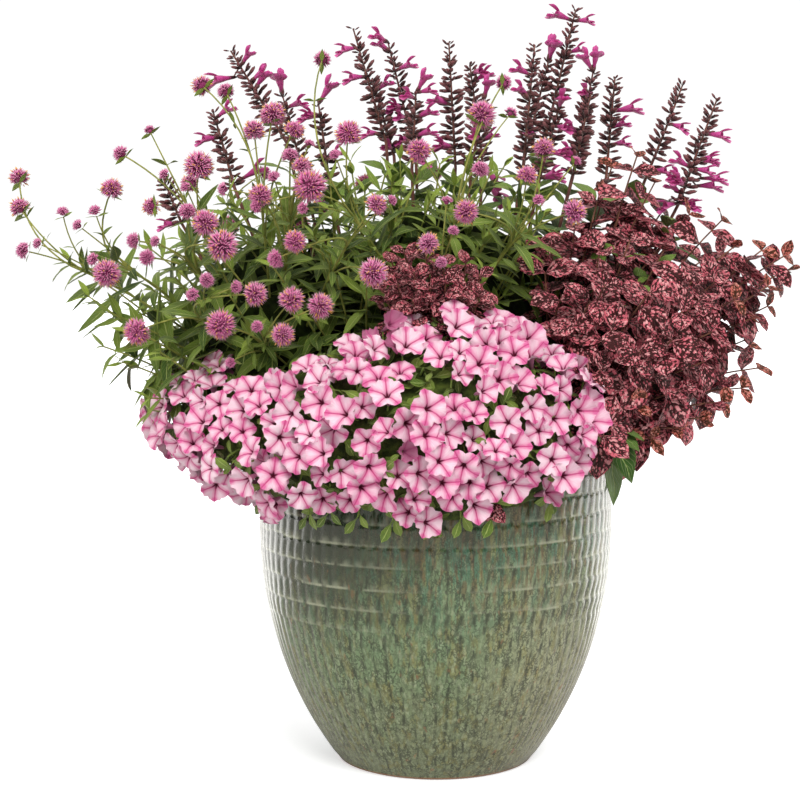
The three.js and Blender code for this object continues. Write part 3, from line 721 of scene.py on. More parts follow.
def makeScatterTree():  # sets a template on every point, turned and sized as the point says
    tree, given = newTree("scatterTree", Collection=["Templates"], Float=["Size Variation"], Int=["Seed"])
    vary, seed = given["Size Variation"], given["Seed"]
    templates = addNode(tree, "GeometryNodeCollectionInfo", {
        "Collection": given["Templates"], "Separate Children": True, "Reset Children": True})
    placed = addNode(tree, "GeometryNodeInstanceOnPoints", {
        "Points": given["Geometry"],
        "Instance": templates,
        "Pick Instance": True,
        "Instance Index": named(tree, "kind", "INT"),
        "Rotation": named(tree, "turn", "QUATERNION"),
        "Scale": scaled(named(tree, "size", "FLOAT_VECTOR"), randomValue(1.0 - vary, vary + 1.0, seed)),
    })
    kept = stored(placed, "tint", randomValue(0.0, 1.0, seed + 1.0), "INSTANCE")
    for spent in ("turn", "size", "kind"):
        kept = addNode(tree, "GeometryNodeRemoveAttribute", {"Geometry": kept, "Name": spent})
    return finishTree(tree, realized(kept), given)


def makeStemTree():  # a round stem along each line, as thick as its points say
    tree, given = newTree("stemTree", Int=["Sides"], Float=["Thickness"])
    circle = {"Resolution": given["Sides"], "Radius": 1.0}
    tube = addNode(tree, "GeometryNodeCurveToMesh", {
        "Curve": addNode(tree, "GeometryNodeMeshToCurve", {"Mesh": given["Geometry"]}),
        "Profile Curve": addNode(tree, "GeometryNodeCurvePrimitiveCircle", circle),
        "Scale": named(tree, "thick", "FLOAT") * given["Thickness"],
        "Fill Caps": True,
    })
    return finishTree(tree, realized(rounded(tube)), given)


def makeHeadTree():  # a round head: bracts set outwards on a spiral over a ball
    tree, given = newTree("headTree", Object=["Bract"], Int=["Bracts", "Seed"],
                          Float=["Radius", "Lowest", "Width", "Ball"])
    radius, seed = given["Radius"], given["Seed"]
    index = addNode(tree, "GeometryNodeInputIndex")
    height = (index + 0.5) / given["Bracts"] * (given["Lowest"] - 1.0) + 1.0
    flat = calc("SQRT", 1.0 - height * height)
    turn = index * turnStep
    jitter = randomValue(-0.14, 0.14, seed)
    outward = vectorOf(flat * calc("COSINE", turn) + jitter, flat * calc("SINE", turn), height + jitter)
    points = addNode(tree, "GeometryNodePoints", {"Count": given["Bracts"]})
    root = {"Geometry": points, "Position": scaled(outward, radius * 0.34)}
    width = radius * given["Width"]
    bracts = addNode(tree, "GeometryNodeInstanceOnPoints", {
        "Points": addNode(tree, "GeometryNodeSetPosition", root),
        "Instance": addNode(tree, "GeometryNodeObjectInfo", {"Object": given["Bract"]}, out="Geometry"),
        "Rotation": addNode(tree, "FunctionNodeAlignRotationToVector", {"Vector": outward}, axis="Z"),
        "Scale": vectorOf(width, width, radius * randomValue(0.5, 0.76, seed + 3.0)),
    })
    ball = addNode(tree, "GeometryNodeMeshIcoSphere", {"Radius": radius * given["Ball"], "Subdivisions": 2})
    joined = tree.nodes.new("GeometryNodeJoinGeometry")
    for part in (realized(bracts), ball):
        feed(joined.inputs[0], part)
    return finishTree(tree, Wire(joined.outputs[0]), given)


def makePotTree():  # a wall turned from its profile, with throwing bands and leaning flutes pressed into it
    depths = ["Flutes", "Flute Depth", "Band Depth", "Band Pitch", "Lowest Band", "Lean", "Sway"]
    tree, given = newTree("potTree", Object=["Profile"], Int=["Around", "Rows"], Float=depths)
    sizes = {"Size X": 1.0, "Size Y": 1.0, "Vertices X": given["Around"], "Vertices Y": given["Rows"]}
    grid = addNode(tree, "GeometryNodeMeshGrid", sizes)
    position = addNode(tree, "GeometryNodeInputPosition")
    across, upwards, _ = partsOf(position)
    turn = across * fullTurn
    sine, cosine = calc("SINE", turn), calc("COSINE", turn)
    row = calc("ROUND", (upwards + 0.5) * (given["Rows"] - 1.0))
    outline = addNode(tree, "GeometryNodeObjectInfo", {"Object": given["Profile"]}, out="Geometry")

    def fromProfile(kind, value):
        inputs = {"Geometry": outline, "Value": value, "Index": row}
        return addNode(tree, "GeometryNodeSampleIndex", inputs, data_type=kind, domain="POINT")

    radius, _, z = partsOf(fromProfile("FLOAT_VECTOR", position))
    outside = fromProfile("FLOAT", named(tree, "outside", "FLOAT"))

    # bands: a slope up to a ledge, again and again above the lowest one
    lowest = given["Lowest Band"]
    tilted = z + (noiseAt(vectorOf(sine, cosine, z * 6.0), 1.6, 2) * 0.006 - 0.003)
    banded = smooth(tilted, lowest, lowest + 0.002)
    bandShare = 1.0 - calc("FRACT", (tilted - lowest) / given["Band Pitch"] + 20.0)
    fromLedge = 1.0 - bandShare
    band = fromLedge ** 1.3 * smooth(bandShare, 0.0, 0.24) * (banded * given["Band Depth"])

    # flutes: upright waves that lean within each band and sway a little
    leaning = bandShare * banded * given["Lean"]
    drift = noiseAt(vectorOf(sine, cosine, z * 16.0), 2.4, 2) * given["Sway"]
    ridge = abs(calc("SINE", turn * (given["Flutes"] * 0.5) + (leaning + drift))) ** 0.7
    flute = ridge * given["Flute Depth"] * smooth(z, 0.004, 0.05)

    wide = (flute + band) * outside + radius
    # painted highlight: a pale line just above each step of the bands and pale streaks up the flute ridges,
    # kept for the glaze
    line = 1.0 - smooth(fromLedge, 0.04, 0.16)
    ridgeGlint = (1.0 - smooth(fromLedge, 0.1, 0.6)) * ridge * 0.6
    lit = calc("MAXIMUM", line, ridgeGlint) * banded
    marked = stored(stored(grid, "valley", 1.0 - ridge), "ledge", lit)
    place = vectorOf(wide * sine, wide * cosine * -1.0, z)
    wall = addNode(tree, "GeometryNodeSetPosition", {"Geometry": marked, "Position": place})
    closed = addNode(tree, "GeometryNodeMergeByDistance", {"Geometry": wall, "Distance": 1e-5})
    return finishTree(tree, rounded(closed), given)


trees = {"scatter": makeScatterTree(), "stem": makeStemTree(), "head": makeHeadTree(), "pot": makePotTree()}


def linked(obj):
    bpy.context.scene.collection.objects.link(obj)
    return obj


def emptyObject(name):
    return bpy.data.objects.new(name, bpy.data.meshes.new(name))


def grown(obj, tree, values, name):  # runs a tree on an object and keeps the result as a plain mesh
    modifier = linked(obj).modifiers.new("grow", "NODES")
    modifier.node_group = tree
    for item in tree.interface.items_tree:
        if item.in_out == "INPUT" and item.name in values:
            modifier[item.identifier] = values[item.name]
    depsgraph = bpy.context.evaluated_depsgraph_get()
    mesh = bpy.data.meshes.new_from_object(
        obj.evaluated_get(depsgraph), preserve_all_data_layers=True, depsgraph=depsgraph)
    mesh.name = name
    obj.modifiers.remove(modifier)
    bpy.data.objects.remove(obj)
    return bpy.data.objects.new(name, mesh)


def shown(piece, replaces=()):
    linked(piece)
    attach(piece, "root")
    if replaces:
        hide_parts(*replaces)
    return piece


# Where repeats go: every spot is a place, the way it grows, the way its upper face looks, and a size

class Spots:
    def __init__(self):
        self.rows = []

    def add(self, place, heading, normal, size, kind=0, age=0.0):
        heading = heading.normalized()
        normal = (normal - heading * normal.dot(heading)).normalized()
        side = heading.cross(normal)
        turn = Matrix((side, heading, normal)).transposed().to_quaternion()
        size = size if isinstance(size, tuple) else (size, size, size)
        self.rows.append({"place": place * mm, "turn": turn, "size": size, "kind": kind, "age": age})


fields = {
    "turn": {"type": "QUATERNION", "field": "value"},
    "size": {"type": "FLOAT_VECTOR", "field": "vector"},
    "kind": {"type": "INT", "field": "value"},
    "age": {"type": "FLOAT", "field": "value"},
}


def scattered(name, spots, templates, material, seed, variation=0.1):
    mesh = bpy.data.meshes.new(name + "Spots")
    mesh.from_pydata([row["place"] for row in spots.rows], [], [])
    for label, kept in fields.items():
        values = []
        for row in spots.rows:
            values.extend(row[label] if label in ("turn", "size") else [row[label]])
        mesh.attributes.new(label, kept["type"], "POINT").data.foreach_set(kept["field"], values)
    collection = bpy.data.collections.new(name + "Templates")
    for template in templates:
        collection.objects.link(template)
    values = {"Templates": collection, "Size Variation": variation, "Seed": seed, "Material": material}
    piece = grown(bpy.data.objects.new(name + "Spots", mesh), trees["scatter"], values, name)
    bpy.data.collections.remove(collection)
    for template in templates:
        bpy.data.objects.remove(template)
    print(name, len(spots.rows), "repeats", len(piece.data.polygons), "faces")
    return piece


class Lines:
    def __init__(self):
        self.points, self.radii, self.edges = [], [], []

    def add(self, path, startRadius, endRadius):
        first = len(self.points)
        last = len(path) - 1
        for k, point in enumerate(path):
            self.points.append(point * mm)
            self.radii.append((startRadius + (endRadius - startRadius) * k / last) * mm)
            if k:
                self.edges.append((first + k - 1, first + k))


def stemmed(name, lines, material, sides=6):
    mesh = bpy.data.meshes.new(name + "Lines")
    mesh.from_pydata(lines.points, lines.edges, [])
    mesh.attributes.new("thick", "FLOAT", "POINT").data.foreach_set("value", lines.radii)
    values = {"Sides": sides, "Thickness": 1.0, "Material": material}
    piece = grown(bpy.data.objects.new(name + "Lines", mesh), trees["stem"], values, name)
    print(name, len(lines.edges), "lengths", len(piece.data.polygons), "faces")
    return piece


def along(path, distance):  # the point and heading at a distance back from a path's end
    left = distance
    for b, a in zip(reversed(path), reversed(path[:-1])):
        step = (b - a).length
        if left <= step:
            return b.lerp(a, left / step), (b - a).normalized()
        left -= step
    return path[0], (path[1] - path[0]).normalized()


def pathLength(path):
    return sum((b - a).length for a, b in zip(path, path[1:]))


def pairLeaves(path, rule, seed, spots):  # leaves in pairs back from the tip, each pair square to the last
    total = pathLength(path) * rule["leafy"]
    distance = rule["tipGap"]
    node = 0
    while distance < total:
        point, heading = along(path, distance)
        side = spun(heading, node * math.pi / 2 + spread(seed, node, -0.4, 0.4) + seed)
        age = min(1.0, distance / rule["fullAt"])
        length = rule["tipLeaf"] + (rule["fullLeaf"] - rule["tipLeaf"]) * age
        rise = rule["tipRise"] + (rule["fullRise"] - rule["tipRise"]) * age
        for way in (1, -1):
            k = seed * 40 + node * 2 + way
            leafWay = side * way * math.cos(rise) + heading * math.sin(rise)
            leafWay = leafWay - up * rule["sag"] * age
            leafWay = leafWay + Vector((spread(3, k, -0.2, 0.2), spread(4, k, -0.2, 0.2), 0))
            normal = heading * 0.5 + rule["look"]
            size = length / rule["template"] * spread(5, k, 0.82, 1.14)
            thin = size * spread(6, k, 0.85, 1.12)
            yet = max(0.0, 1.0 - rule["youngFor"] * age)
            spots.add(point, leafWay, normal, (thin, size, size), int(wobble(7, k) * rule["kinds"]), yet)
        distance += rule["gap"] * (0.55 + 0.45 * age) * spread(8, seed * 9 + node, 0.85, 1.15)
        node += 1


def addShoot(root, tip, lift, steps, thick, rule, seed, leaves, stems):  # a leafy stem from root to tip
    path = arched(root, tip, lift, steps)
    stems.add(path, *thick)
    pairLeaves(path, rule, seed, leaves)


def addPair(leaves, place, side, lean, normal, sizes, kind=0, age=0.0):  # two leaves that face each other
    for way, size in zip((1, -1), sizes):
        leaves.add(place, side * way + lean, normal, size, kind, age)


# The pot: its wall is turned from a profile, and a floor with drain holes closes it

potRule = {
    "height": 322, "footRadius": 100, "bellyRadius": 178, "bellyHeight": 245, "rimRadius": 174,
    "wallThickness": 11, "floorThickness": 14,
    "flutes": 88, "fluteDepth": 1.05, "bandPitch": 20.8, "bandDepth": 0.65, "lowestBand": 158,
    "lean": 1.0, "sway": 1.6,
    "drainRadius": 8, "drainFromMiddle": 46, "drainHoles": 3, "sidesPerFlute": 6,
}


def potRadius(z):
    rule = potRule
    wide, belly = rule["bellyRadius"], rule["bellyHeight"]
    if z > belly:
        share = (z - belly) / (rule["height"] - belly)
        return wide - (wide - rule["rimRadius"]) * share * share
    return wide - (wide - rule["footRadius"]) * (1 - z / belly) ** 2.2


def potProfile():  # one closed line round the wall's section, with how far its outside relief shows
    rule = potRule
    top, rim, wall = rule["height"], rule["rimRadius"], rule["wallThickness"]
    rows = []
    for k in range(13):
        z = rule["floorThickness"] + (top - 12 - rule["floorThickness"]) * k / 12
        rows.append((potRadius(z) - wall, z, 0))
    rows += [(rim - wall + 0.4, top - 5, 0), (rim - wall + 3, top - 1, 0), (rim - 4, top, 0)]
    rows += [(rim - 0.6, top - 1.2, 0), (rim + 1.8, top - 4.5, 0), (rim + 2.2, top - 8, 0)]
    rows += [(rim + 1.4, top - 11.5, 0.1), (rim + 0.8, top - 14, 0.5)]
    z = top - 16
    while z > 5:
        rows.append((potRadius(z), z, 1))
        z -= 2.0 if z > 150 else 5.0
    foot = rule["footRadius"]
    rows += [(foot + 1.0, 3.2, 0.6), (foot - 0.4, 1.0, 0), (foot - 3, 0, 0), (84, 0, 0)]
    rows += [(84, rule["floorThickness"], 0), rows[0]]
    return rows


def makePotWall():
    rule = potRule
    rows = potProfile()
    mesh = bpy.data.meshes.new("potProfile")
    mesh.from_pydata([(r * mm, 0, z * mm) for r, z, _ in rows], [], [])
    outside = [float(row[2]) for row in rows]
    mesh.attributes.new("outside", "FLOAT", "POINT").data.foreach_set("value", outside)
    profile = bpy.data.objects.new("potProfile", mesh)
    values = {
        "Profile": profile,
        "Around": rule["flutes"] * rule["sidesPerFlute"] + 1,
        "Rows": len(rows),
        "Flutes": float(rule["flutes"]),
        "Flute Depth": rule["fluteDepth"] * mm,
        "Band Depth": rule["bandDepth"] * mm,
        "Band Pitch": rule["bandPitch"] * mm,
        "Lowest Band": rule["lowestBand"] * mm,
        "Lean": rule["lean"],
        "Sway": rule["sway"],
        "Material": makeGlazeMaterial(),
    }
    piece = grown(emptyObject("potStart"), trees["pot"], values, "potWall")
    bpy.data.objects.remove(profile)
    bm = bmesh.new()
    bm.from_mesh(piece.data)
    bmesh.ops.recalc_face_normals(bm, faces=bm.faces)
    bm.to_mesh(piece.data)
    bm.free()
    return piece


def cylinderAt(x, y, radius, low, high, sides):
    bm = bmesh.new()
    place = Matrix.Translation(Vector((x, y, (low + high) / 2)) * mm)
    bmesh.ops.create_cone(bm, cap_ends=True, segments=sides, radius1=radius * mm, radius2=radius * mm,
                          depth=(high - low) * mm, matrix=place)
    return linked(meshObject(bm, "cylinder"))


def makePotFloor():
    rule = potRule
    floor = cylinderAt(0, 0, 88, 0.4, rule["floorThickness"] - 0.4, 64)
    holes = []
    for k in range(rule["drainHoles"]):
        turn = fullTurn * k / rule["drainHoles"]
        x, y = rule["drainFromMiddle"] * math.sin(turn), rule["drainFromMiddle"] * math.cos(turn)
        holes.append(cylinderAt(x, y, rule["drainRadius"], -5, 25, 32))
        cut = floor.modifiers.new("hole", "BOOLEAN")
        cut.operation, cut.solver, cut.object = "DIFFERENCE", "EXACT", holes[-1]
    depsgraph = bpy.context.evaluated_depsgraph_get()
    mesh = bpy.data.meshes.new_from_object(floor.evaluated_get(depsgraph), depsgraph=depsgraph)
    for obj in (floor, *holes):
        bpy.data.objects.remove(obj)
    mesh.materials.clear()
    clay = colour(150, 92, 62), colour(186, 124, 86)
    mesh.materials.append(makePlainPlantMaterial("potBareClay", *clay, 0.85, 0.0, 120, 0.0004))
    return bpy.data.objects.new("potFloor", mesh)


shown(makePotWall(), ["pot"])
shown(makePotFloor())
print("pot done")


# Potting soil: it fills the pot, and its top is crumbly

soilRule = {"top": 300, "rough": 3.0, "gap": 0.6, "around": 96, "rings": 26}


def makeSoil():
    rule = soilRule
    wall = potRule["wallThickness"] + rule["gap"]
    low = potRule["floorThickness"] + rule["gap"]
    rings = [(0.0, low)]
    rings += [(potRadius(z) - wall, z) for z in (low, 60, 110, 160, 210, 250, 280, rule["top"] - 4)]
    edge = potRadius(rule["top"]) - wall - 2
    rings += [(edge * (1 - k / rule["rings"]), rule["top"]) for k in range(rule["rings"] + 1)]
    crumbs = random.Random(5)
    top = len(rings) - rule["rings"]
    bm = bmesh.new()
    loops = []
    for k, (radius, z) in enumerate(rings):
        count = 1 if radius == 0 else rule["around"]
        loop = []
        for i in range(count):
            turn = fullTurn * i / count
            lift = crumbs.uniform(-1, 1) * rule["rough"] if k >= top else 0
            place = Vector((radius * math.cos(turn), radius * math.sin(turn), z + lift))
            loop.append(bm.verts.new(place * mm))
        loops.append(loop)
    for low, high in zip(loops, loops[1:]):
        count = max(len(low), len(high))
        for i in range(count):
            j = (i + 1) % count
            corners = [low[i % len(low)], low[j % len(low)], high[j % len(high)], high[i % len(high)]]
            bm.faces.new(list(dict.fromkeys(corners)))
    bmesh.ops.recalc_face_normals(bm, faces=bm.faces)
    return meshObject(bm, "pottingSoil", makeSoilMaterial())


shown(makeSoil(), ["soil"])


# Leaf and stem materials

greens = {
    "amaranthLeaf": {
        "dark": colour(60, 88, 30), "light": colour(132, 158, 66), "vein": colour(182, 198, 116),
        "edge": colour(154, 174, 80), "young": colour(158, 184, 72), "veins": 9.0, "slant": 0.5,
        "midrib": 0.022, "veinShow": 0.16, "roughness": 0.42, "sheen": 0.1, "relief": 0.0003,
    },
    "petuniaLeaf": {
        "dark": colour(78, 106, 34), "light": colour(140, 164, 74), "vein": colour(170, 190, 110),
        "edge": colour(146, 170, 80), "young": colour(150, 176, 76), "veins": 5.0, "slant": 0.5,
        "midrib": 0.03, "veinShow": 0.1, "roughness": 0.45, "sheen": 0.15, "relief": 0.0002,
    },
    "salviaLeaf": {
        "dark": colour(52, 88, 32), "light": colour(112, 148, 60), "vein": colour(156, 180, 104),
        "edge": colour(92, 124, 54), "young": colour(128, 162, 66), "veins": 8.0, "slant": 0.7,
        "midrib": 0.016, "veinShow": 0.35, "roughness": 0.5, "sheen": 0.15, "relief": 0.0008,
    },
}
stemTones = {
    "amaranth": ((116, 128, 52), (158, 160, 82)),
    "salvia": ((96, 58, 58), (140, 92, 84)),
    "polkaDot": ((78, 38, 34), (150, 104, 84)),
    "petunia": ((110, 142, 56), (150, 176, 88)),
}
# painted shade: dark tones for the hearts inside the plants
heartShadeTones = {
    "Green": {"tones": ((20, 30, 10), (58, 78, 28)), "scale": 110, "relief": 0.004},
    "Petunia": {"tones": ((40, 58, 20), (104, 126, 54)), "scale": 120, "relief": 0.004},
    "Purple": {"tones": ((24, 14, 14), (52, 34, 26)), "scale": 70, "relief": 0.003},
}
leafFinish = {name: makeLeafMaterial(name, finish) for name, finish in greens.items()}
stemFinish = {}
for plant, (darkTone, lightTone) in stemTones.items():
    stemFinish[plant] = makePlainPlantMaterial(plant + "Stem", colour(*darkTone), colour(*lightTone))
shade = {}
for plant, inner in heartShadeTones.items():
    tones = [colour(*tone) for tone in inner["tones"]]
    shade[plant] = makePlainPlantMaterial("inner" + plant, *tones, 0.8, 0.0, inner["scale"], inner["relief"])


# Each plant has a heart: dark lumpy bodies in painted shade that stand in for its packed inner leaves

def addBall(bm, centre, radii, seed, bumpiness=0.16, detail=4):
    ball = bmesh.ops.create_icosphere(bm, subdivisions=detail, radius=1.0)["verts"]
    for vertex in ball:
        way = vertex.co.normalized()
        wave = math.sin(7 * way.x + seed) * math.sin(8 * way.y + 2 * seed) * math.sin(7 * way.z + 3 * seed)
        fine = math.sin(19 * way.x + seed) * math.sin(17 * way.y) * math.sin(18 * way.z + seed)
        reach = 1 + bumpiness * (wave + 0.5 * fine)
        vertex.co = (centre + Vector([w * r * reach for w, r in zip(way, radii)])) * mm


def makeHeart(name, balls, material):
    bm = bmesh.new()
    for k, (centre, radii) in enumerate(balls):
        addBall(bm, Vector(centre), radii, k + len(name))
    for face in bm.faces:
        face.smooth = True
    return meshObject(bm, name, material)


# dark bodies in painted shade inside the amaranth, the salvia and the polka dot plant
hearts = {
    "amaranthHeart": ("Green", [((-160, -4, 425), (76, 66, 92)), ((10, 8, 456), (80, 60, 98))]),
    "salviaHeart": ("Green", [((-92, 100, 434), (76, 28, 90)), ((90, 102, 434), (80, 30, 92))]),
    "polkaDotHeart": ("Purple", [((184, -10, 410), (66, 62, 66))]),
}


# Petunias: blooms, leaves and stems over mounds that spill over the front of the rim

petuniaRule = {
    "mounds": [
        (-84, 330, 408, 1.2), (-68, 300, 420, 1.2), (-44, 256, 426, 1.08), (-20, 262, 440, 1.02),
        (4, 246, 458, 1.0), (28, 268, 440, 0.98), (44, 300, 410, 0.97),
    ],
    "from": -86, "to": 45,
    "bloomSpacing": 20.3, "bloomSize": 0.93, "wiltedShare": 0.025,
    "leafSpacing": 8.5, "leafSize": 1.0,
    "near": 26, "throat": 12.5, "tube": 21,
    "wiltedFrom": 350, "wiltedTo": 400, "wiltedAbove": 346,
}
petuniaOutline = [  # x and y in the picture
    (140, 376), (164, 358), (190, 352), (222, 354), (238, 380), (262, 386), (284, 372), (312, 362),
    (340, 350), (366, 330), (402, 320), (424, 320), (440, 304), (500, 308), (535, 325), (590, 352),
    (600, 400), (597, 436), (580, 468), (552, 494), (525, 484), (505, 496), (478, 514), (446, 504),
    (425, 530), (402, 516), (370, 500), (322, 512), (290, 488), (268, 520), (240, 528), (216, 510),
    (203, 484), (170, 462), (140, 440),
]
petuniaGaps = [  # x and y in the picture and size, of places without blooms where leaves and stems show
    (244, 441, 9), (228, 466, 10), (290, 497, 9), (336, 496, 10), (331, 388, 12), (292, 426, 9),
    (347, 424, 9), (262, 478, 8), (426, 366, 8), (402, 405, 9), (470, 452, 8), (505, 412, 8),
    (548, 440, 9), (380, 466, 8),
]


def moundAt(angle):  # its lowest and highest place and its reach, at an angle in degrees
    mounds = petuniaRule["mounds"]
    for a, b in zip(mounds, mounds[1:]):
        if angle <= b[0]:
            share = max(0.0, (angle - a[0]) / (b[0] - a[0]))
            return [p + (q - p) * share for p, q in zip(a[1:], b[1:])]
    return mounds[-1][1:]


def moundPlace(angle, share, lift=0.0):  # a place on a mound's outside, and the way it faces
    low, high, reach = moundAt(angle)
    line = [(191, 0), (220 * reach, 0.24), (229 * reach, 0.5), (209 * reach, 0.76), (150 * reach, 1)]
    knots = [Vector((r, low + (high - low) * s)) for r, s in line]
    knots = [2 * knots[0] - knots[1], *knots, 2 * knots[-1] - knots[-2]]
    where = min(max(share, 0.0), 0.9999) * 4
    k = int(where)
    t = where - k
    a, b, c, d = knots[k:k + 4]
    first, second, third = c - a, a * 2 - b * 5 + c * 4 - d, b * 3 - a - c * 3 + d
    place = (b * 2 + first * t + second * t * t + third * t ** 3) / 2
    tangent = (first + second * 2 * t + third * 3 * t * t).normalized()
    normal = Vector((tangent.y, -tangent.x))
    place = place + normal * lift
    turn = math.radians(angle)
    facing = around(turn, normal.x, 0) + up * normal.y
    return around(turn, place.x, place.y), facing.normalized()


def inGap(place, grow=1.0):
    across, below = picturedAt(place)
    return any(math.hypot(across - x, below - y) < size * grow for x, y, size in petuniaGaps)


def dartsOnMounds(spacing, seed, tries, lift):  # evenly scattered places inside the petunias' outline
    darts = random.Random(seed)
    kept = []
    for _ in range(tries):
        angle, share = darts.uniform(petuniaRule["from"], petuniaRule["to"]), darts.uniform(0, 1)
        high = darts.uniform(*lift)
        place, facing = moundPlace(angle, share, high)
        if not insideOutline(petuniaOutline, *picturedAt(place)):
            continue
        if all((place - other).length_squared > spacing * spacing for other, _, _ in kept):
            kept.append((place, facing, angle))
    return kept


def makePetuniaBlooms():
    rule = petuniaRule
    shapes = [(1.0, 0.9), (-1.8, 1.2), (2.8, 0.8), (-0.4, 1.6), (4.6, 1.0)]
    templates = [bloomTemplate(f"bloom{k}", cup, ruffle) for k, (cup, ruffle) in enumerate(shapes)]
    templates.append(bloomTemplate("bloom5", 8, 2.2, 0.7))
    spots = Spots()
    stems = Lines()
    centres = []
    darts = dartsOnMounds(rule["bloomSpacing"], 4, 9000, (1, 16))
    for i, (place, facing, angle) in enumerate(darts):
        if inGap(place):
            continue
        across, below = picturedAt(place)
        turned = facing * 0.6 + Vector((0, -0.42, 0.2))
        turned += Vector((spread(11, i, -0.6, 0.6), spread(12, i, -0.2, 0.25), spread(13, i, -0.5, 0.45)))
        turned.normalize()
        spin = spun(turned, spread(14, i, *anyTurn))
        atWilted = rule["wiltedFrom"] < across < rule["wiltedTo"] and below < rule["wiltedAbove"]
        wilted = wobble(15, i) < rule["wiltedShare"] or atWilted
        size = rule["bloomSize"] * spread(16, i, 0.78, 1.08)
        centres.append((place, turned))
        spots.add(place, spin, turned, size, 5 if wilted else int(wobble(17, i) * 5), 1.0 if wilted else 0.0)
        root = place - turned * rule["tube"] * size
        inner, _ = moundPlace(angle + spread(18, i, -3, 3), 0.55 if place.z > 370 else 0.8, -30)
        stems.add(arched(inner, root, 0.1, 5), 1.2, 0.8)
    blooms = scattered("petuniaBlooms", spots, templates, makePetuniaMaterial(), 21, 0.04)
    return blooms, stems, centres


def underBloom(place, centres):  # whether a leaf there would come up through a bloom's throat
    for centre, facing in centres:
        out = place - centre
        aside = (out - facing * out.dot(facing)).length
        if out.length < petuniaRule["near"] and aside < petuniaRule["throat"]:
            return True
    return False


def makePetuniaLeaves(stems, centres):
    rule = petuniaRule
    form = {
        "length": 20, "width": 8.5, "fold": 0.16, "ripple": 0.5, "petiole": 0.14, "belly": 1.25,
        "rootFullness": 1.2, "tipFullness": 0.6, "rows": 5, "columns": 2, "thickness": 0.5,
    }
    templates = leafTemplates("petuniaLeaf", form, (0.2, 0.6, 1.0, -0.3))
    spots = Spots()
    for i, (place, facing, angle) in enumerate(dartsOnMounds(rule["leafSpacing"], 6, 12000, (-13, -2))):
        if underBloom(place, centres):
            continue
        heading = spun(facing, spread(21, i, *anyTurn)) + facing * spread(22, i, 0.0, 0.6)
        spots.add(place, heading, facing + up * 0.5, rule["leafSize"] * spread(23, i, 0.7, 1.25), i % 4)
    for i, (place, facing, angle) in enumerate(dartsOnMounds(6.0, 7, 9000, (-9, 3))):
        if not inGap(place, 1.1) or underBloom(place, centres):
            continue
        side = spun(facing, spread(221, i, *anyTurn))
        stems.add(arched(place - facing * 22 - side * 6, place, 0.1, 4), 1.1, 0.8)
        heading = side + facing * spread(222, i, 0.0, 0.7)
        spots.add(place, heading, facing + up * 0.5, spread(223, i, 0.6, 1.1), i % 4)
    for i in range(13):  # leaves that look out under the blooms
        angle = -76 + 116 * (i + wobble(24, i)) / 13
        place, facing = moundPlace(angle, spread(25, i, 0.04, 0.16), 0)
        end = place + facing * 2 + up * spread(27, i, 0, 6)
        path = arched(place - facing * 14 + up * 10, end, 0.15, 5)
        stems.add(path, 1.2, 0.8)
        for leaf in range(2):
            side = around(math.radians(angle + 90), 1, 0) * (1 if leaf else -1)
            heading = side * spread(29, i * 2 + leaf, 0.3, 1.0) - up + facing * 0.3
            spots.add(path[-1 - leaf], heading, facing + up * 0.4, spread(28, i * 2 + leaf, 0.7, 1.15), leaf)
    return scattered("petuniaLeaves", spots, templates, leafFinish["petuniaLeaf"], 31, 0.1)


def makePetuniaHeart():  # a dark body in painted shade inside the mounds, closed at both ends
    bm = bmesh.new()
    loops = []
    angles = [petuniaRule["from"] + 3 + 4 * k for k in range(32)]
    for k, angle in enumerate(angles):
        low, high, _ = moundAt(angle)
        ends = min(1.0, (k + 0.6) / 3, (len(angles) - k - 0.4) / 3)
        heart = Vector((165, 352))
        inner = [(128, high - 46), (128, 330), (160, 326), (181, 328), (182, max(low + 22, 290))]
        loop = []
        for s in (0.08, 0.2, 0.32, 0.44, 0.56, 0.68, 0.8, 0.92):
            place, _ = moundPlace(angle, s, -13 + 4 * wobble(k, s * 50))
            loop.append(Vector((math.hypot(place.x, place.y), place.z)))
        loop += [Vector(point) for point in inner]
        row = []
        for flat in loop:
            flat = heart + (flat - heart) * (0.4 + 0.6 * ends)
            row.append(bm.verts.new(around(math.radians(angle), flat.x, flat.y) * mm))
        loops.append(row)
    for low, high in zip(loops, loops[1:]):
        for i in range(len(low)):
            j = (i + 1) % len(low)
            bm.faces.new((low[i], low[j], high[j], high[i]))
    bm.faces.new(loops[0])
    bm.faces.new(reversed(loops[-1]))
    bmesh.ops.triangulate(bm, faces=[face for face in bm.faces if len(face.verts) > 4])
    bmesh.ops.recalc_face_normals(bm, faces=bm.faces)
    return meshObject(bm, "petuniaHeart", shade["Petunia"])


petuniaNodes = [f"petunia_{k}" for k in range(1, 6)]
petuniaBlooms, petuniaStems, bloomCentres = makePetuniaBlooms()
petuniaLeaves = makePetuniaLeaves(petuniaStems, bloomCentres)
shown(petuniaBlooms, petuniaNodes)
shown(petuniaLeaves)
shown(stemmed("petuniaStems", petuniaStems, stemFinish["petunia"], 5))
shown(makePetuniaHeart())
print("petunias done")


# Globe amaranth: a leafy bush, and sprays of heads on forked stalks. Each head is x, z and diameter

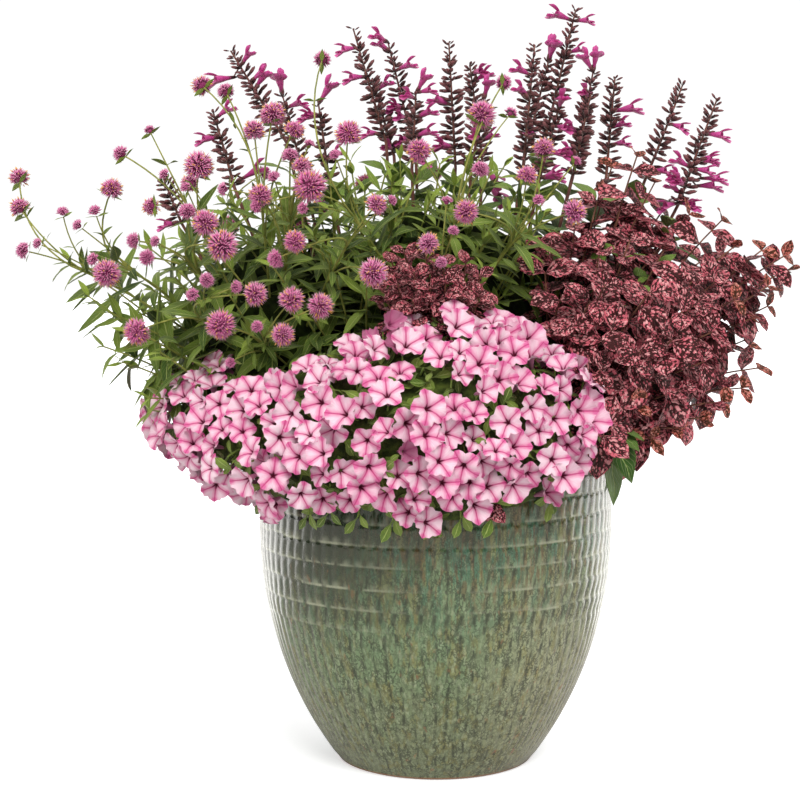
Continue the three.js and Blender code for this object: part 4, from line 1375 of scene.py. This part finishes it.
sprays = [
    ((-370, 502), [(-420, 590, 20), (-420, 560, 20), (-377, 555, 13), (-417, 517, 17), (-402, 524, 12)]),
    ((-322, 506), [(-361, 542, 13), (-344, 556, 14), (-346, 508, 14), (-327, 579, 21), (-333, 494, 27)]),
    ((-244, 548), [(-288, 637, 12), (-317, 614, 17), (-273, 593, 12), (-239, 602, 29), (-252, 580, 12)]),
    ((-250, 506), [(-305, 527, 16), (-283, 526, 12), (-292, 510, 16), (-251, 556, 18), (-233, 545, 25),
                   (-216, 522, 31)]),
    ((-240, 450), [(-303, 435, 26), (-246, 472, 14), (-232, 487, 15), (-203, 480, 14), (-183, 473, 23)]),
    ((-173, 421), [(-218, 442, 29), (-181, 440, 13), (-155, 432, 22), (-146, 467, 24), (-117, 461, 24),
                   (-208, 404, 12)]),
    ((-176, 563), [(-235, 682, 20), (-211, 676, 17), (-183, 637, 21), (-164, 653, 26), (-143, 637, 20)]),
    ((-148, 546), [(-147, 612, 17), (-135, 601, 20), (-127, 582, 33), (-163, 590, 14), (-177, 572, 22),
                   (-128, 623, 12), (-213, 579, 14)]),
    ((-92, 563), [(-114, 708, 18), (-88, 634, 26), (-101, 612, 13), (-133, 560, 13), (-180, 562, 14)]),
    ((-92, 518), [(-142, 526, 22), (-161, 509, 18), (-63, 495, 28), (-60, 563, 20), (-45, 567, 12)]),
    ((20, 553), [(-17, 617, 24), (46, 653, 28), (68, 685, 16), (75, 654, 14), (45, 598, 18)]),
    ((85, 533), [(109, 619, 22), (92, 592, 20), (141, 606, 12), (104, 567, 13), (140, 556, 24),
                 (31, 556, 24)]),
    ((5, 492), [(11, 566, 12), (-7, 524, 20), (18, 536, 12), (6, 505, 12)]),
]
amaranthRule = {
    "centre": Vector((-92, 4, 430)), "radii": Vector((218, 142, 158)), "shoots": 118,
    "base": Vector((-76, 0, 308)),
    "canopyCentre": Vector((-80, 20, 480)), "canopyRadii": Vector((400, 190, 230)),
    "leafy": 0.62, "tipGap": 2, "gap": 25, "tipLeaf": 20, "fullLeaf": 54, "fullAt": 46, "tipRise": 1.0,
    "fullRise": 0.3, "sag": 0.3, "template": 52, "kinds": 4,
    "headSize": 1.06, "stalk": 0.85, "mainStalk": 1.15, "branchShare": 0.42, "longStalk": 60,
    "middles": [Vector((-160, -8, 432)), Vector((2, 0, 468))],
    "look": Vector((0, -0.3, 0.8)), "youngFor": 1.4,
}
highShoots = [  # x and y in the picture and depth; they close the bush's top between the spikes
    (385, 175, -20), (400, 158, 10), (420, 170, -30), (440, 163, 20), (455, 184, -40), (470, 160, 10),
    (490, 174, -20), (505, 165, 20), (522, 184, -20), (540, 192, 0), (430, 200, -60), (470, 204, -60),
    (510, 212, -50), (400, 205, -60), (545, 215, -40), (350, 160, 0), (330, 178, -10), (365, 190, -40),
    (450, 225, -80), (490, 232, -80), (530, 240, -70), (300, 185, 10), (270, 200, 0),
]
lowShoots = [  # x and y in the picture and depth; they hang out at the left
    (88, 296, -70), (108, 312, -90), (102, 346, -60), (122, 362, -80), (148, 398, -110), (96, 272, -20),
    (150, 412, -90), (70, 262, -30), (132, 330, -120), (160, 352, -130),
]


def canopyFront(x, z):
    centre, radii = amaranthRule["canopyCentre"], amaranthRule["canopyRadii"]
    rest = 1 - ((x - centre.x) / radii.x) ** 2 - ((z - centre.z) / radii.z) ** 2
    return centre.y - radii.y * math.sqrt(max(rest, 0))


def roundTips(centre, radii, count, lowest, seed, near=0.8, far=1.04):
    tips = []
    for i in range(count):
        height = 1 - (1 - lowest) * (i + 0.5) / count
        flat = math.sqrt(1 - height * height)
        turn = i * turnStep + seed
        way = Vector((flat * math.cos(turn), flat * math.sin(turn), height))
        reach = spread(seed, i, near, far)
        squared = [math.copysign(abs(w) ** 0.88, w) for w in way]
        tips.append(centre + Vector([w * r * reach for w, r in zip(squared, radii)]))
    return tips


def makeAmaranthShoots(leaves, stems):
    rule = amaranthRule
    tips = roundTips(rule["centre"], rule["radii"], rule["shoots"], -0.28, 2)
    tips += [fromPicture(*shoot) for shoot in [*lowShoots, *highShoots]]
    for i, tip in enumerate(tips):
        root = rule["base"] + Vector((spread(31, i, -60, 60), spread(32, i, -46, 46), 0))
        root.x += 0.25 * (tip.x - root.x)
        addShoot(root, tip, 0.12, 9, (1.6, 0.8), rule, i, leaves, stems)


def sprayGroups():  # the fork of each spray, with the places and diameters of its heads
    groups = []
    for fork, row in sprays:
        split = seenAt(*fork, canopyFront(*fork) + 40)
        groups.append((split, [(seenAt(x, z, canopyFront(x, z)), size) for x, z, size in row]))
    for s in range(2):  # two more sprays behind the bush
        split = Vector((-230 + 190 * s, 90, 535))
        row = []
        for h in range(6):
            turn, reach = h * turnStep, 36 + 12 * h
            offset = Vector((reach * math.cos(turn), 40 + 12 * h, 40 + reach * 0.5 * math.sin(turn)))
            row.append((split + offset, 16 + 4 * (h % 3)))
        groups.append((split, row))
    return groups


def addStalk(main, back, centre, diameter, seed, leaves, stems):  # one head's stalk with its leaves
    rule = amaranthRule
    full = rule["template"]
    start, heading = along(main, back)
    reach = (centre - start).length
    path = curved(start, start + heading * reach * 0.45 + up * reach * 0.06, centre, 9)
    top = (path[-1] - path[-2]).normalized()
    path[-1] = centre - top * diameter * 0.3
    stems.add(path, rule["stalk"] * 1.15, rule["stalk"] * (0.72 if diameter < 15 else 0.9))

    # leaves at the fork, under the head, and half way up a long stalk
    sizes = [spread(42, seed + step, 24, 46) / full for step in (0.3, -0.3)]
    side = spun(heading, spread(41, seed, *anyHalfTurn))
    addPair(leaves, start, side, heading * 0.45, heading + up * 0.4, sizes, int(wobble(43, seed) * 4))
    small = (6 + diameter * 0.42) / full
    sizes = [(small * 1.3, small, small)] * 2
    side = spun(top, spread(44, seed, *anyHalfTurn))
    addPair(leaves, centre - top * diameter * 0.36, side, top * 0.2, top, sizes, 0, 0.5)
    if reach > rule["longStalk"]:
        point, way = along(path, reach * spread(45, seed, 0.35, 0.6))
        sizes = [spread(47, seed, 10, 20) / full] * 2
        side = spun(way, spread(46, seed, *anyHalfTurn))
        addPair(leaves, point, side, way * 0.7, way + up * 0.2, sizes, 1, 0.3)
    return centre, top, diameter


def makeAmaranthSprays(leaves, stems):
    rule = amaranthRule
    heads = []
    for s, (split, row) in enumerate(sprayGroups()):
        middle = min(rule["middles"], key=lambda place: (place - split).length)
        main = arched(middle.lerp(split, 0.1) - up * 60, split, 0.1, 10)
        stems.add(main, rule["mainStalk"] * 1.2, rule["mainStalk"])
        total = pathLength(main)
        order = sorted(row, key=lambda head: -(head[0] - split).length)
        for h, (centre, diameter) in enumerate(order):
            back = total * rule["branchShare"] * h / len(order)
            heads.append(addStalk(main, back, centre, diameter, s * 17 + h, leaves, stems))
    return heads


def makeAmaranthHeads(heads):
    forms = {
        "Largeheads": {"from": 21, "bracts": 330, "lowest": -0.8, "width": 0.74, "ball": 0.5, "kinds": 3},
        "Smallheads": {"from": 15, "bracts": 240, "lowest": -0.4, "width": 0.84, "ball": 0.5, "kinds": 3},
        "Budheads": {"from": 0, "bracts": 110, "lowest": 0.1, "width": 1.15, "ball": 0.4, "kinds": 2},
    }
    finish = makeBractMaterial("amaranthBract", amaranth["heart"], amaranth["middle"], amaranth["tip"])
    pieces = []
    upper = 99
    for f, (name, form) in enumerate(forms.items()):
        spots = Spots()
        for i, (centre, top, diameter) in enumerate(heads):
            if form["from"] <= diameter < upper:
                ranges = ((-0.25, 0.25), (-0.3, 0.1), (-0.1, 0.2))
                tilt = top + Vector([spread(51 + k, i, *ends) for k, ends in enumerate(ranges)])
                size = diameter / 20 * amaranthRule["headSize"]
                spots.add(centre, squareTo(tilt), tilt, size, i % form["kinds"])
        upper = form["from"]
        templates = []
        for k in range(form["kinds"]):
            bract = bractTemplate()
            values = {
                "Bract": bract, "Bracts": form["bracts"], "Radius": 10 * mm, "Lowest": form["lowest"],
                "Width": form["width"], "Ball": form["ball"], "Seed": 60 + k + 10 * f, "Material": finish,
            }
            templates.append(grown(emptyObject("headStart"), trees["head"], values, f"{name}{k}"))
            bpy.data.objects.remove(bract)
        pieces.append(scattered("amaranth" + name, spots, templates, finish, 71 + f, 0.03))
    return pieces


def makeFlorets(heads):  # the small yellow florets that open between the bracts of the larger heads
    spots = Spots()
    for i, (centre, top, diameter) in enumerate(heads):
        if diameter < 19:
            continue
        for k in range(int(diameter * 1.5)):
            height = spread(61, i * 40 + k, -0.6, 1.0)
            flat = math.sqrt(1 - height * height)
            way = top * height + spun(top, k * turnStep + i) * flat
            spots.add(centre + way * diameter * 0.35, squareTo(way), way, 1.0)
    template = bractTemplate()
    for vertex in template.data.vertices:
        vertex.co = Vector((vertex.co.x * 10 * mm, vertex.co.y * 10 * mm, vertex.co.z * 4.8 * mm))
    tones = amaranth["floretRoot"], amaranth["floret"], amaranth["floret"]
    finish = makeBractMaterial("amaranthFloret", *tones)
    return scattered("amaranthFlorets", spots, [template], finish, 81, 0.2)


leafForm = {
    "length": 52, "width": 13.5, "fold": 0.24, "ripple": 0.7, "petiole": 0.04, "belly": 0.82,
    "rootFullness": 0.8, "tipFullness": 1.1, "rows": 6, "columns": 2, "thickness": 0.5,
}
amaranthLeaves, amaranthStems = Spots(), Lines()
makeAmaranthShoots(amaranthLeaves, amaranthStems)
amaranthHeads = makeAmaranthSprays(amaranthLeaves, amaranthStems)
foliageNodes = ["amaranth_foliage_left", "amaranth_foliage_middle"]
leafShapes = leafTemplates("amaranthLeaf", leafForm, (0.15, 0.5, 0.9, -0.25))
leafPiece = scattered("amaranthLeaves", amaranthLeaves, leafShapes, leafFinish["amaranthLeaf"], 91, 0.08)
shown(leafPiece, foliageNodes)
shown(stemmed("amaranthStems", amaranthStems, stemFinish["amaranth"], 6))
headNodes = [f"amaranth_flowers_{k}" for k in range(1, 16)]
for headPiece in makeAmaranthHeads(amaranthHeads):
    shown(headPiece, headNodes)
shown(makeFlorets(amaranthHeads))
print("globe amaranth done")


# Salvia: a bush behind, spikes of dark calyces in whorls, and flowers where the picture shows them

spikes = [  # x and z of the foot and the tip in the middle plane, and the depth
    ((-150, 625), (-206, 717), 60), ((-203, 580), (-224, 656), 40), ((-257, 545), (-275, 590), 75),
    ((-135, 600), (-154, 672), 110), ((-108, 590), (-118, 664), 70), ((-50, 625), (-83, 739), 90),
    ((-20, 612), (-48, 725), 130), ((20, 600), (13, 725), 85), ((48, 600), (34, 703), 150),
    ((88, 600), (99, 722), 75), ((110, 628), (140, 757), 130), ((140, 600), (158, 696), 85),
    ((172, 590), (180, 690), 150), ((212, 590), (248, 683), 100), ((246, 565), (283, 669), 60),
    ((-24, 600), (-20, 675), 50), ((105, 590), (126, 668), 60), ((-42, 612), (-64, 690), 120),
    ((138, 590), (156, 674), 60), ((90, 612), (113, 706), 130), ((36, 600), (48, 668), 70),
]
openFlowers = [  # x and y in the picture
    (213, 80), (253, 55), (268, 75), (280, 78), (233, 112), (203, 145), (165, 230), (297, 108),
    (312, 120), (340, 57), (338, 83), (383, 50), (385, 88), (410, 70), (428, 78), (430, 95), (435, 105),
    (475, 75), (490, 78), (520, 75), (522, 95), (548, 20), (592, 27), (583, 54), (595, 60), (638, 115),
    (678, 132), (724, 142), (715, 164), (724, 178), (664, 176), (676, 184), (670, 190), (500, 198),
    (390, 150), (475, 140), (560, 130), (382, 42), (399, 110), (430, 137), (442, 151), (496, 138),
    (419, 165), (530, 134), (551, 48), (586, 96), (568, 133), (567, 155), (550, 178), (674, 164),
    (662, 212), (688, 208), (718, 185), (425, 82), (412, 100), (260, 168), (366, 139), (336, 157),
    (397, 112), (403, 120), (429, 117), (405, 142), (445, 149), (350, 84), (551, 55), (583, 62),
    (572, 134), (618, 128), (621, 147), (560, 158), (556, 182), (497, 190), (671, 178), (681, 186),
    (716, 167), (712, 178), (683, 206), (560, 105), (488, 86), (277, 76), (267, 78), (314, 118),
]
salviaRule = {
    "centre": Vector((0, 112, 430)), "radii": Vector((205, 92, 132)), "shoots": 44,
    "base": Vector((0, 100, 308)), "whorlGap": 8.0, "calyces": 7, "calyxSize": 0.98,
    "leafy": 0.55, "tipGap": 6, "gap": 40, "tipLeaf": 24, "fullLeaf": 60, "fullAt": 70, "tipRise": 0.9,
    "fullRise": 0.2, "sag": 0.35, "template": 58, "kinds": 3, "youngFor": 2.0,
    "look": Vector((0, -0.2, 0.8)),
    "missing": 0.22, "rightRoot": Vector((120, 40, 320)),
    "rightShoots": [
        (598, 262, -30), (622, 256, -20), (660, 262, -30), (640, 282, -60), (668, 238, 20), (585, 290, -50),
    ],
}
rimLeaves = [  # the angle, rise and length of each
    (40, -1.1, 66), (52, -1.5, 78), (64, -1.0, 68), (47, -0.4, 52), (60, 0.1, 48), (34, -0.5, 46),
]


def makeSpikeAxes(leaves, stems):  # each spike's bowed axis, on a leafy stem
    rule = salviaRule
    axes = []
    for s, (foot, tip, depth) in enumerate(spikes):
        low, high = seenAt(*foot, depth), seenAt(*tip, depth)
        axis = high - low
        bow = squareTo(axis) * spread(101, s, -5, 5)
        path = [low + axis * (k / 12) + bow * math.sin(math.pi * (k / 12)) for k in range(13)]
        root = rule["base"] + Vector((low.x * 0.55, spread(102, s, -20, 20), 0))
        stem = arched(root, low, 0.04, 10)[:-1]
        stems.add(stem + path, 2.4, 0.9)
        pairLeaves(stem, {**rule, "tipGap": 4, "leafy": 0.62, "tipLeaf": 40}, 200 + s, leaves)
        axes.append(path)
    return axes


def makeWhorls(axes, calyces):  # rings of calyces up every spike, smaller towards the tip
    rule = salviaRule
    for s, path in enumerate(axes):
        total = pathLength(path)
        distance, w = 1.5, 0
        while distance < total:
            share = distance / total
            point, heading = along(path, distance)
            count = 4 if share < 0.12 else rule["calyces"]
            for c in range(count):
                seed = s * 300 + w * 7 + c
                side = spun(heading, w * 0.9 + c * fullTurn / count + spread(103, seed, -0.35, 0.35))
                rise = 0.6 - 0.3 * share + spread(108, seed, -0.35, 0.35)
                way = side * (0.9 + 0.3 * share) + heading * rise
                size = rule["calyxSize"] * (0.62 + 0.5 * min(1, share * 2.2)) * spread(104, seed, 0.75, 1.2)
                if wobble(105, seed) > rule["missing"]:
                    place = point + side * 1.2 + heading * spread(109, seed, -1.8, 1.8)
                    calyces.add(place, way, heading, size)
            distance += rule["whorlGap"] * (0.76 + 0.24 * share)
            w += 1


def makeOpenFlowers(axes, stems, calyces, flowers):  # each grows from the nearest place on a spike
    for f, (across, below) in enumerate(openFlowers):
        options = []
        for (_, _, depth), path in zip(spikes, axes):
            place = fromPicture(across, below, depth)
            options += [((point - place).length, point, place) for point in path]
        _, point, place = min(options, key=lambda option: option[0])
        out = place - point
        out.y = -6 - 0.3 * out.length
        way = out.normalized() + up * 0.25
        root = point if out.length > 8 else point - way.normalized() * 4
        size = min(1.25, max(1.05, out.length / 24)) * spread(106, f, 0.9, 1.08)
        if out.length > 34:
            root = place - way.normalized() * 26
            stems.add([point, root.lerp(point, 0.5) + up * 2, root + way * 3], 1.0, 0.8)
        flowers.add(root, way, up, size, 0)
        calyces.add(root - way.normalized() * 3, way, up, 1.15)


def makeSalviaBush(leaves, stems):
    rule = salviaRule
    for i, tip in enumerate(roundTips(rule["centre"], rule["radii"], rule["shoots"], -0.15, 5)):
        root = rule["base"] + Vector((tip.x * 0.5, spread(107, i, -20, 22), 0))
        addShoot(root, tip, 0.12, 8, (2.2, 1.2), rule, 400 + i, leaves, stems)
    back = {**rule, "leafy": 0.32, "gap": 30, "look": Vector((0, 0.6, 0.6))}
    behind = [tip for tip in roundTips(rule["centre"], rule["radii"] * 0.96, 120, -0.8, 9) if tip.y > 150]
    for i, tip in enumerate(behind):
        root = rule["base"] + Vector((tip.x * 0.55, spread(110, i, 0, 30), 0))
        addShoot(root, tip, 0.14, 7, (1.8, 1.1), back, 480 + i, leaves, stems)
    right = {**rule, "leafy": 0.3}
    for k, shoot in enumerate(rule["rightShoots"]):
        addShoot(rule["rightRoot"], fromPicture(*shoot), 0.1, 8, (2.0, 1.2), right, 460 + k, leaves, stems)


def makeRimShoot(leaves, stems):  # a shoot that curls over the rim at the right
    foot = around(math.radians(52), 140, 300)
    end = around(math.radians(54), 196, 352)
    path = arched(foot, end, 0.2, 8)
    stems.add(path, 2.2, 1.4)
    for k, (angle, rise, length) in enumerate(rimLeaves):
        way = around(math.radians(angle), 1, rise)
        leaves.add(path[-1 - k % 3], way, around(math.radians(angle), 0.8, 0.5), length / 58, k % 3)


salviaLeaves, salviaStems, salviaCalyces, salviaFlowers = Spots(), Lines(), Spots(), Spots()
spikeAxes = makeSpikeAxes(salviaLeaves, salviaStems)
makeWhorls(spikeAxes, salviaCalyces)
makeOpenFlowers(spikeAxes, salviaStems, salviaCalyces, salviaFlowers)
makeSalviaBush(salviaLeaves, salviaStems)
makeRimShoot(salviaLeaves, salviaStems)
leafForm = {
    "length": 58, "width": 28, "fold": 0.1, "ripple": 1.2, "petiole": 0.18, "belly": 0.68,
    "rootFullness": 0.6, "tipFullness": 1.0, "rows": 8, "columns": 4, "thickness": 0.6, "teeth": 10,
    "crinkle": 1.3,
}
salviaNodes = ["salvia_foliage_left", "salvia_foliage_right", "salvia_rim_shoot"]
leafShapes = leafTemplates("salviaLeaf", leafForm, (0.3, 0.7, 1.1))
leafPiece = scattered("salviaLeaves", salviaLeaves, leafShapes, leafFinish["salviaLeaf"], 111, 0.08)
shown(leafPiece, salviaNodes)
shown(stemmed("salviaStems", salviaStems, stemFinish["salvia"], 6))
calyxFinish = makeSalviaMaterial("salviaCalyx", salvia["calyx"], salvia["calyxLight"], 0.2)
spikeNodes = [f"salvia_spike_{k}" for k in range(1, 16)]
calyxPiece = scattered("salviaCalyces", salviaCalyces, [calyxTemplate()], calyxFinish, 121, 0.05)
shown(calyxPiece, spikeNodes)
flowerFinish = makeSalviaMaterial("salviaFlower", salvia["flower"], salvia["lip"], 0.3)
shown(scattered("salviaFlowers", salviaFlowers, [trumpetTemplate()], flowerFinish, 131, 0.04))
print("salvia done")


# Polka dot plant: leafy shoots at the right, and a small plant in the middle behind the petunias

polkaRule = {
    "base": Vector((120, -14, 308)), "youngTips": 24,
    "leafy": 0.5, "tipGap": 1, "gap": 29, "tipLeaf": 18, "fullLeaf": 45, "fullAt": 44, "tipRise": 0.7,
    "fullRise": 0.1, "sag": 0.3, "template": 36, "kinds": 4, "youngFor": 4.0,
    "look": Vector((0, -0.75, 0.45)),
}
polkaTips = [  # x and y in the picture, and the depth; the first ones are young
    (600, 192, 10), (612, 166, 40), (637, 156, 20), (655, 182, 0), (690, 214, 20), (722, 220, 0),
    (735, 246, -20), (762, 250, 0), (784, 256, -10), (786, 270, 10), (768, 286, -30), (768, 306, 0),
    (752, 318, -40), (735, 300, -60), (745, 340, -30), (758, 368, 0), (742, 388, -30), (722, 402, -50),
    (700, 418, -70), (674, 428, -90), (652, 438, -100), (628, 430, -110), (610, 422, -120),
    (640, 405, -125), (680, 390, -110), (704, 362, -100), (672, 340, -130), (640, 352, -140),
    (612, 330, -130), (590, 302, -110), (560, 300, -90), (545, 272, -60), (550, 246, -30),
    (575, 226, -20), (600, 250, -80), (630, 240, -60), (664, 250, -60), (692, 270, -70), (715, 282, -50),
    (650, 292, -120), (682, 312, -110), (712, 332, -80), (605, 285, -120), (575, 325, -125),
    (600, 370, -140), (655, 375, -130), (700, 300, -90), (620, 210, 0), (650, 216, 20), (650, 236, 80),
    (700, 262, 90), (736, 302, 70), (690, 342, 90), (640, 302, 110), (716, 362, 60), (670, 200, 70),
    (740, 270, 60), (700, 400, 40), (660, 410, 70), (620, 250, 120), (612, 424, -152), (604, 436, -158),
]
frontTips = [
    (392, 262, -120), (404, 252, -140), (425, 250, -150), (445, 264, -150), (466, 262, -140),
    (480, 276, -130), (398, 284, -150), (430, 288, -160), (462, 292, -155), (414, 272, -160),
    (446, 282, -160), (480, 296, -150), (412, 298, -158), (384, 290, -140), (492, 508, -196),
]


def makePolkaDot():
    leaves, stems = Spots(), Lines()

    def shoots(tips, base, rule, wide, seed):
        for i, tip in enumerate(tips):
            end = fromPicture(*tip)
            root = base + Vector((spread(seed, i, -wide, wide), spread(seed + 1, i, -wide, wide), 0))
            addShoot(root, end, 0.13, 9, (1.5, 0.8), rule, seed * 10 + i, leaves, stems)

    young = polkaRule["youngTips"]
    shoots(polkaTips[:young], polkaRule["base"], polkaRule, 34, 61)
    broad = {**polkaRule, "tipLeaf": 30, "tipRise": 0.35, "youngFor": 99.0}
    shoots(polkaTips[young:], polkaRule["base"], broad, 34, 66)
    small = {**polkaRule, "fullLeaf": 28, "tipLeaf": 18, "gap": 17, "leafy": 0.3, "youngFor": 99.0}
    shoots(frontTips[:-1], Vector((-4, -84, 308)), small, 14, 71)
    shoots(frontTips[-1:], Vector((70, -176, 330)), small, 2, 81)
    return leaves, stems


polkaLeaves, polkaStems = makePolkaDot()
leafForm = {
    "length": 36, "width": 25, "fold": 0.1, "ripple": 1.0, "petiole": 0.1, "belly": 0.8, "rootFullness": 0.5,
    "tipFullness": 0.8, "rows": 7, "columns": 4, "thickness": 0.5, "teeth": 8, "crinkle": 0.5,
}
polkaNodes = ["polka_dot_bush", *[f"polka_dot_stem_{k}" for k in range(1, 10)], "polka_dot_front"]
leafShapes = leafTemplates("polkaLeaf", leafForm, (0.3, 0.7, 1.1, -0.1))
leafPiece = scattered("polkaDotLeaves", polkaLeaves, leafShapes, makePolkaMaterial(), 141, 0.08)
shown(leafPiece, polkaNodes)
shown(stemmed("polkaDotStems", polkaStems, stemFinish["polkaDot"], 6))
print("polka dot plant done")

for heartName, (tone, balls) in hearts.items():
    shown(makeHeart(heartName, balls, shade[tone]))


# Floor, light and camera

def makeFloor():
    rule = lightRule
    material, tree = newMaterial("floorWhite", 0.9, Emission_Color=(1, 1, 1, 1), Specular_IOR_Level=0.0)
    shader = tree.nodes["Principled BSDF"]
    seen, mirrored = addNode(tree, "ShaderNodeLightPath", out=("Is Camera Ray", "Is Glossy Ray"))
    bounced = (rule["floorBounce"], rule["floorBounce"], rule["floorBounce"], 1)
    plain = [rule["floorSeen"] * rule["floorDim"] / part for part in rule["tone"]]  # without the warm light
    feed(shader.inputs["Base Color"], mixed(seen, bounced, (*plain, 1)))
    x, y, _ = partsOf(objectPlace(tree))
    aside = smooth(abs(x) / calc("MAXIMUM", y, 0.05), 0.35, 0.75) * 0.75 + 0.25
    shine = mirrored * (smooth(y, 0.14, 0.5) * aside) * rule["rim"]
    feed(shader.inputs["Emission Strength"], seen * rule["floorLift"] + shine)
    bm = bmesh.new()
    bmesh.ops.create_grid(bm, x_segments=1, y_segments=1, size=30)
    linked(meshObject(bm, "floor", material))


lightRule = {
    "backdrop": 1.05, "ambient": 0.5, "front": 0.06, "behind": 0.36, "above": 0.36, "rim": 1.15,
    "floorBounce": 0.55, "floorSeen": 0.95, "floorDim": 0.86, "floorLift": 0.5, "tone": (1.0, 0.955, 0.86),
    "suns": [
        {"from": (0.3, -1.0, 1.0), "strength": 2.1, "softness": 30},
        {"from": (-0.9, -0.8, 0.15), "strength": 1.25, "softness": 50},
        {"from": (0.1, 0.4, 1.0), "strength": 0.9, "softness": 60},
    ],
}


def makeLight():
    scene = bpy.context.scene
    world = bpy.data.worlds.new("studio")
    scene.world = world
    world.use_nodes = True
    tree = world.node_tree
    backdrop = tree.nodes["Background"]
    rule = lightRule
    ambient = rule["ambient"]
    seen, mirrored = addNode(tree, "ShaderNodeLightPath", out=("Is Camera Ray", "Is Glossy Ray"))
    x, y, z = partsOf(addNode(tree, "ShaderNodeTexCoord", out="Generated"))
    behind = smooth(y, 0.2, 0.6) * rule["behind"]
    above = smooth(z, 0.5, 0.9) * rule["above"]
    back = smooth(y, 0.74, 0.92) * (1.0 - smooth(z, 0.08, 0.25))
    rim = back * (smooth(abs(x), 0.2, 0.42) * 0.75 + 0.25) * rule["rim"]
    mirror = calc("MAXIMUM", calc("MAXIMUM", behind, above), rim) + rule["front"]
    strength = seen * (rule["backdrop"] - ambient) + ambient
    feed(backdrop.inputs["Color"], mixed(seen, (*rule["tone"], 1), (1, 1, 1, 1)))
    feed(backdrop.inputs["Strength"], strength + mirrored * (mirror - ambient))
    for k, sun in enumerate(lightRule["suns"]):
        light = bpy.data.lights.new(f"sun{k}", "SUN")
        light.energy = sun["strength"]
        light.color = lightRule["tone"]
        light.angle = math.radians(sun["softness"])
        lamp = linked(bpy.data.objects.new(f"sun{k}", light))
        lamp.rotation_euler = Vector(sun["from"]).to_track_quat("Z", "Y").to_euler()
        lamp.visible_glossy = False
    scene.view_settings.view_transform = "Standard"


def makeCamera():
    lens = bpy.data.cameras.new("camera")
    lens.lens = view["lens"]
    lens.sensor_width = 36
    lens.clip_start, lens.clip_end = 0.05, 100
    camera = linked(bpy.data.objects.new("camera", lens))
    camera.location = view["eye"] * mm
    camera.rotation_euler = (math.radians(90 - view["down"]), 0, 0)
    bpy.context.scene.camera = camera


makeFloor()
makeLight()
makeCamera()
print("stage done")
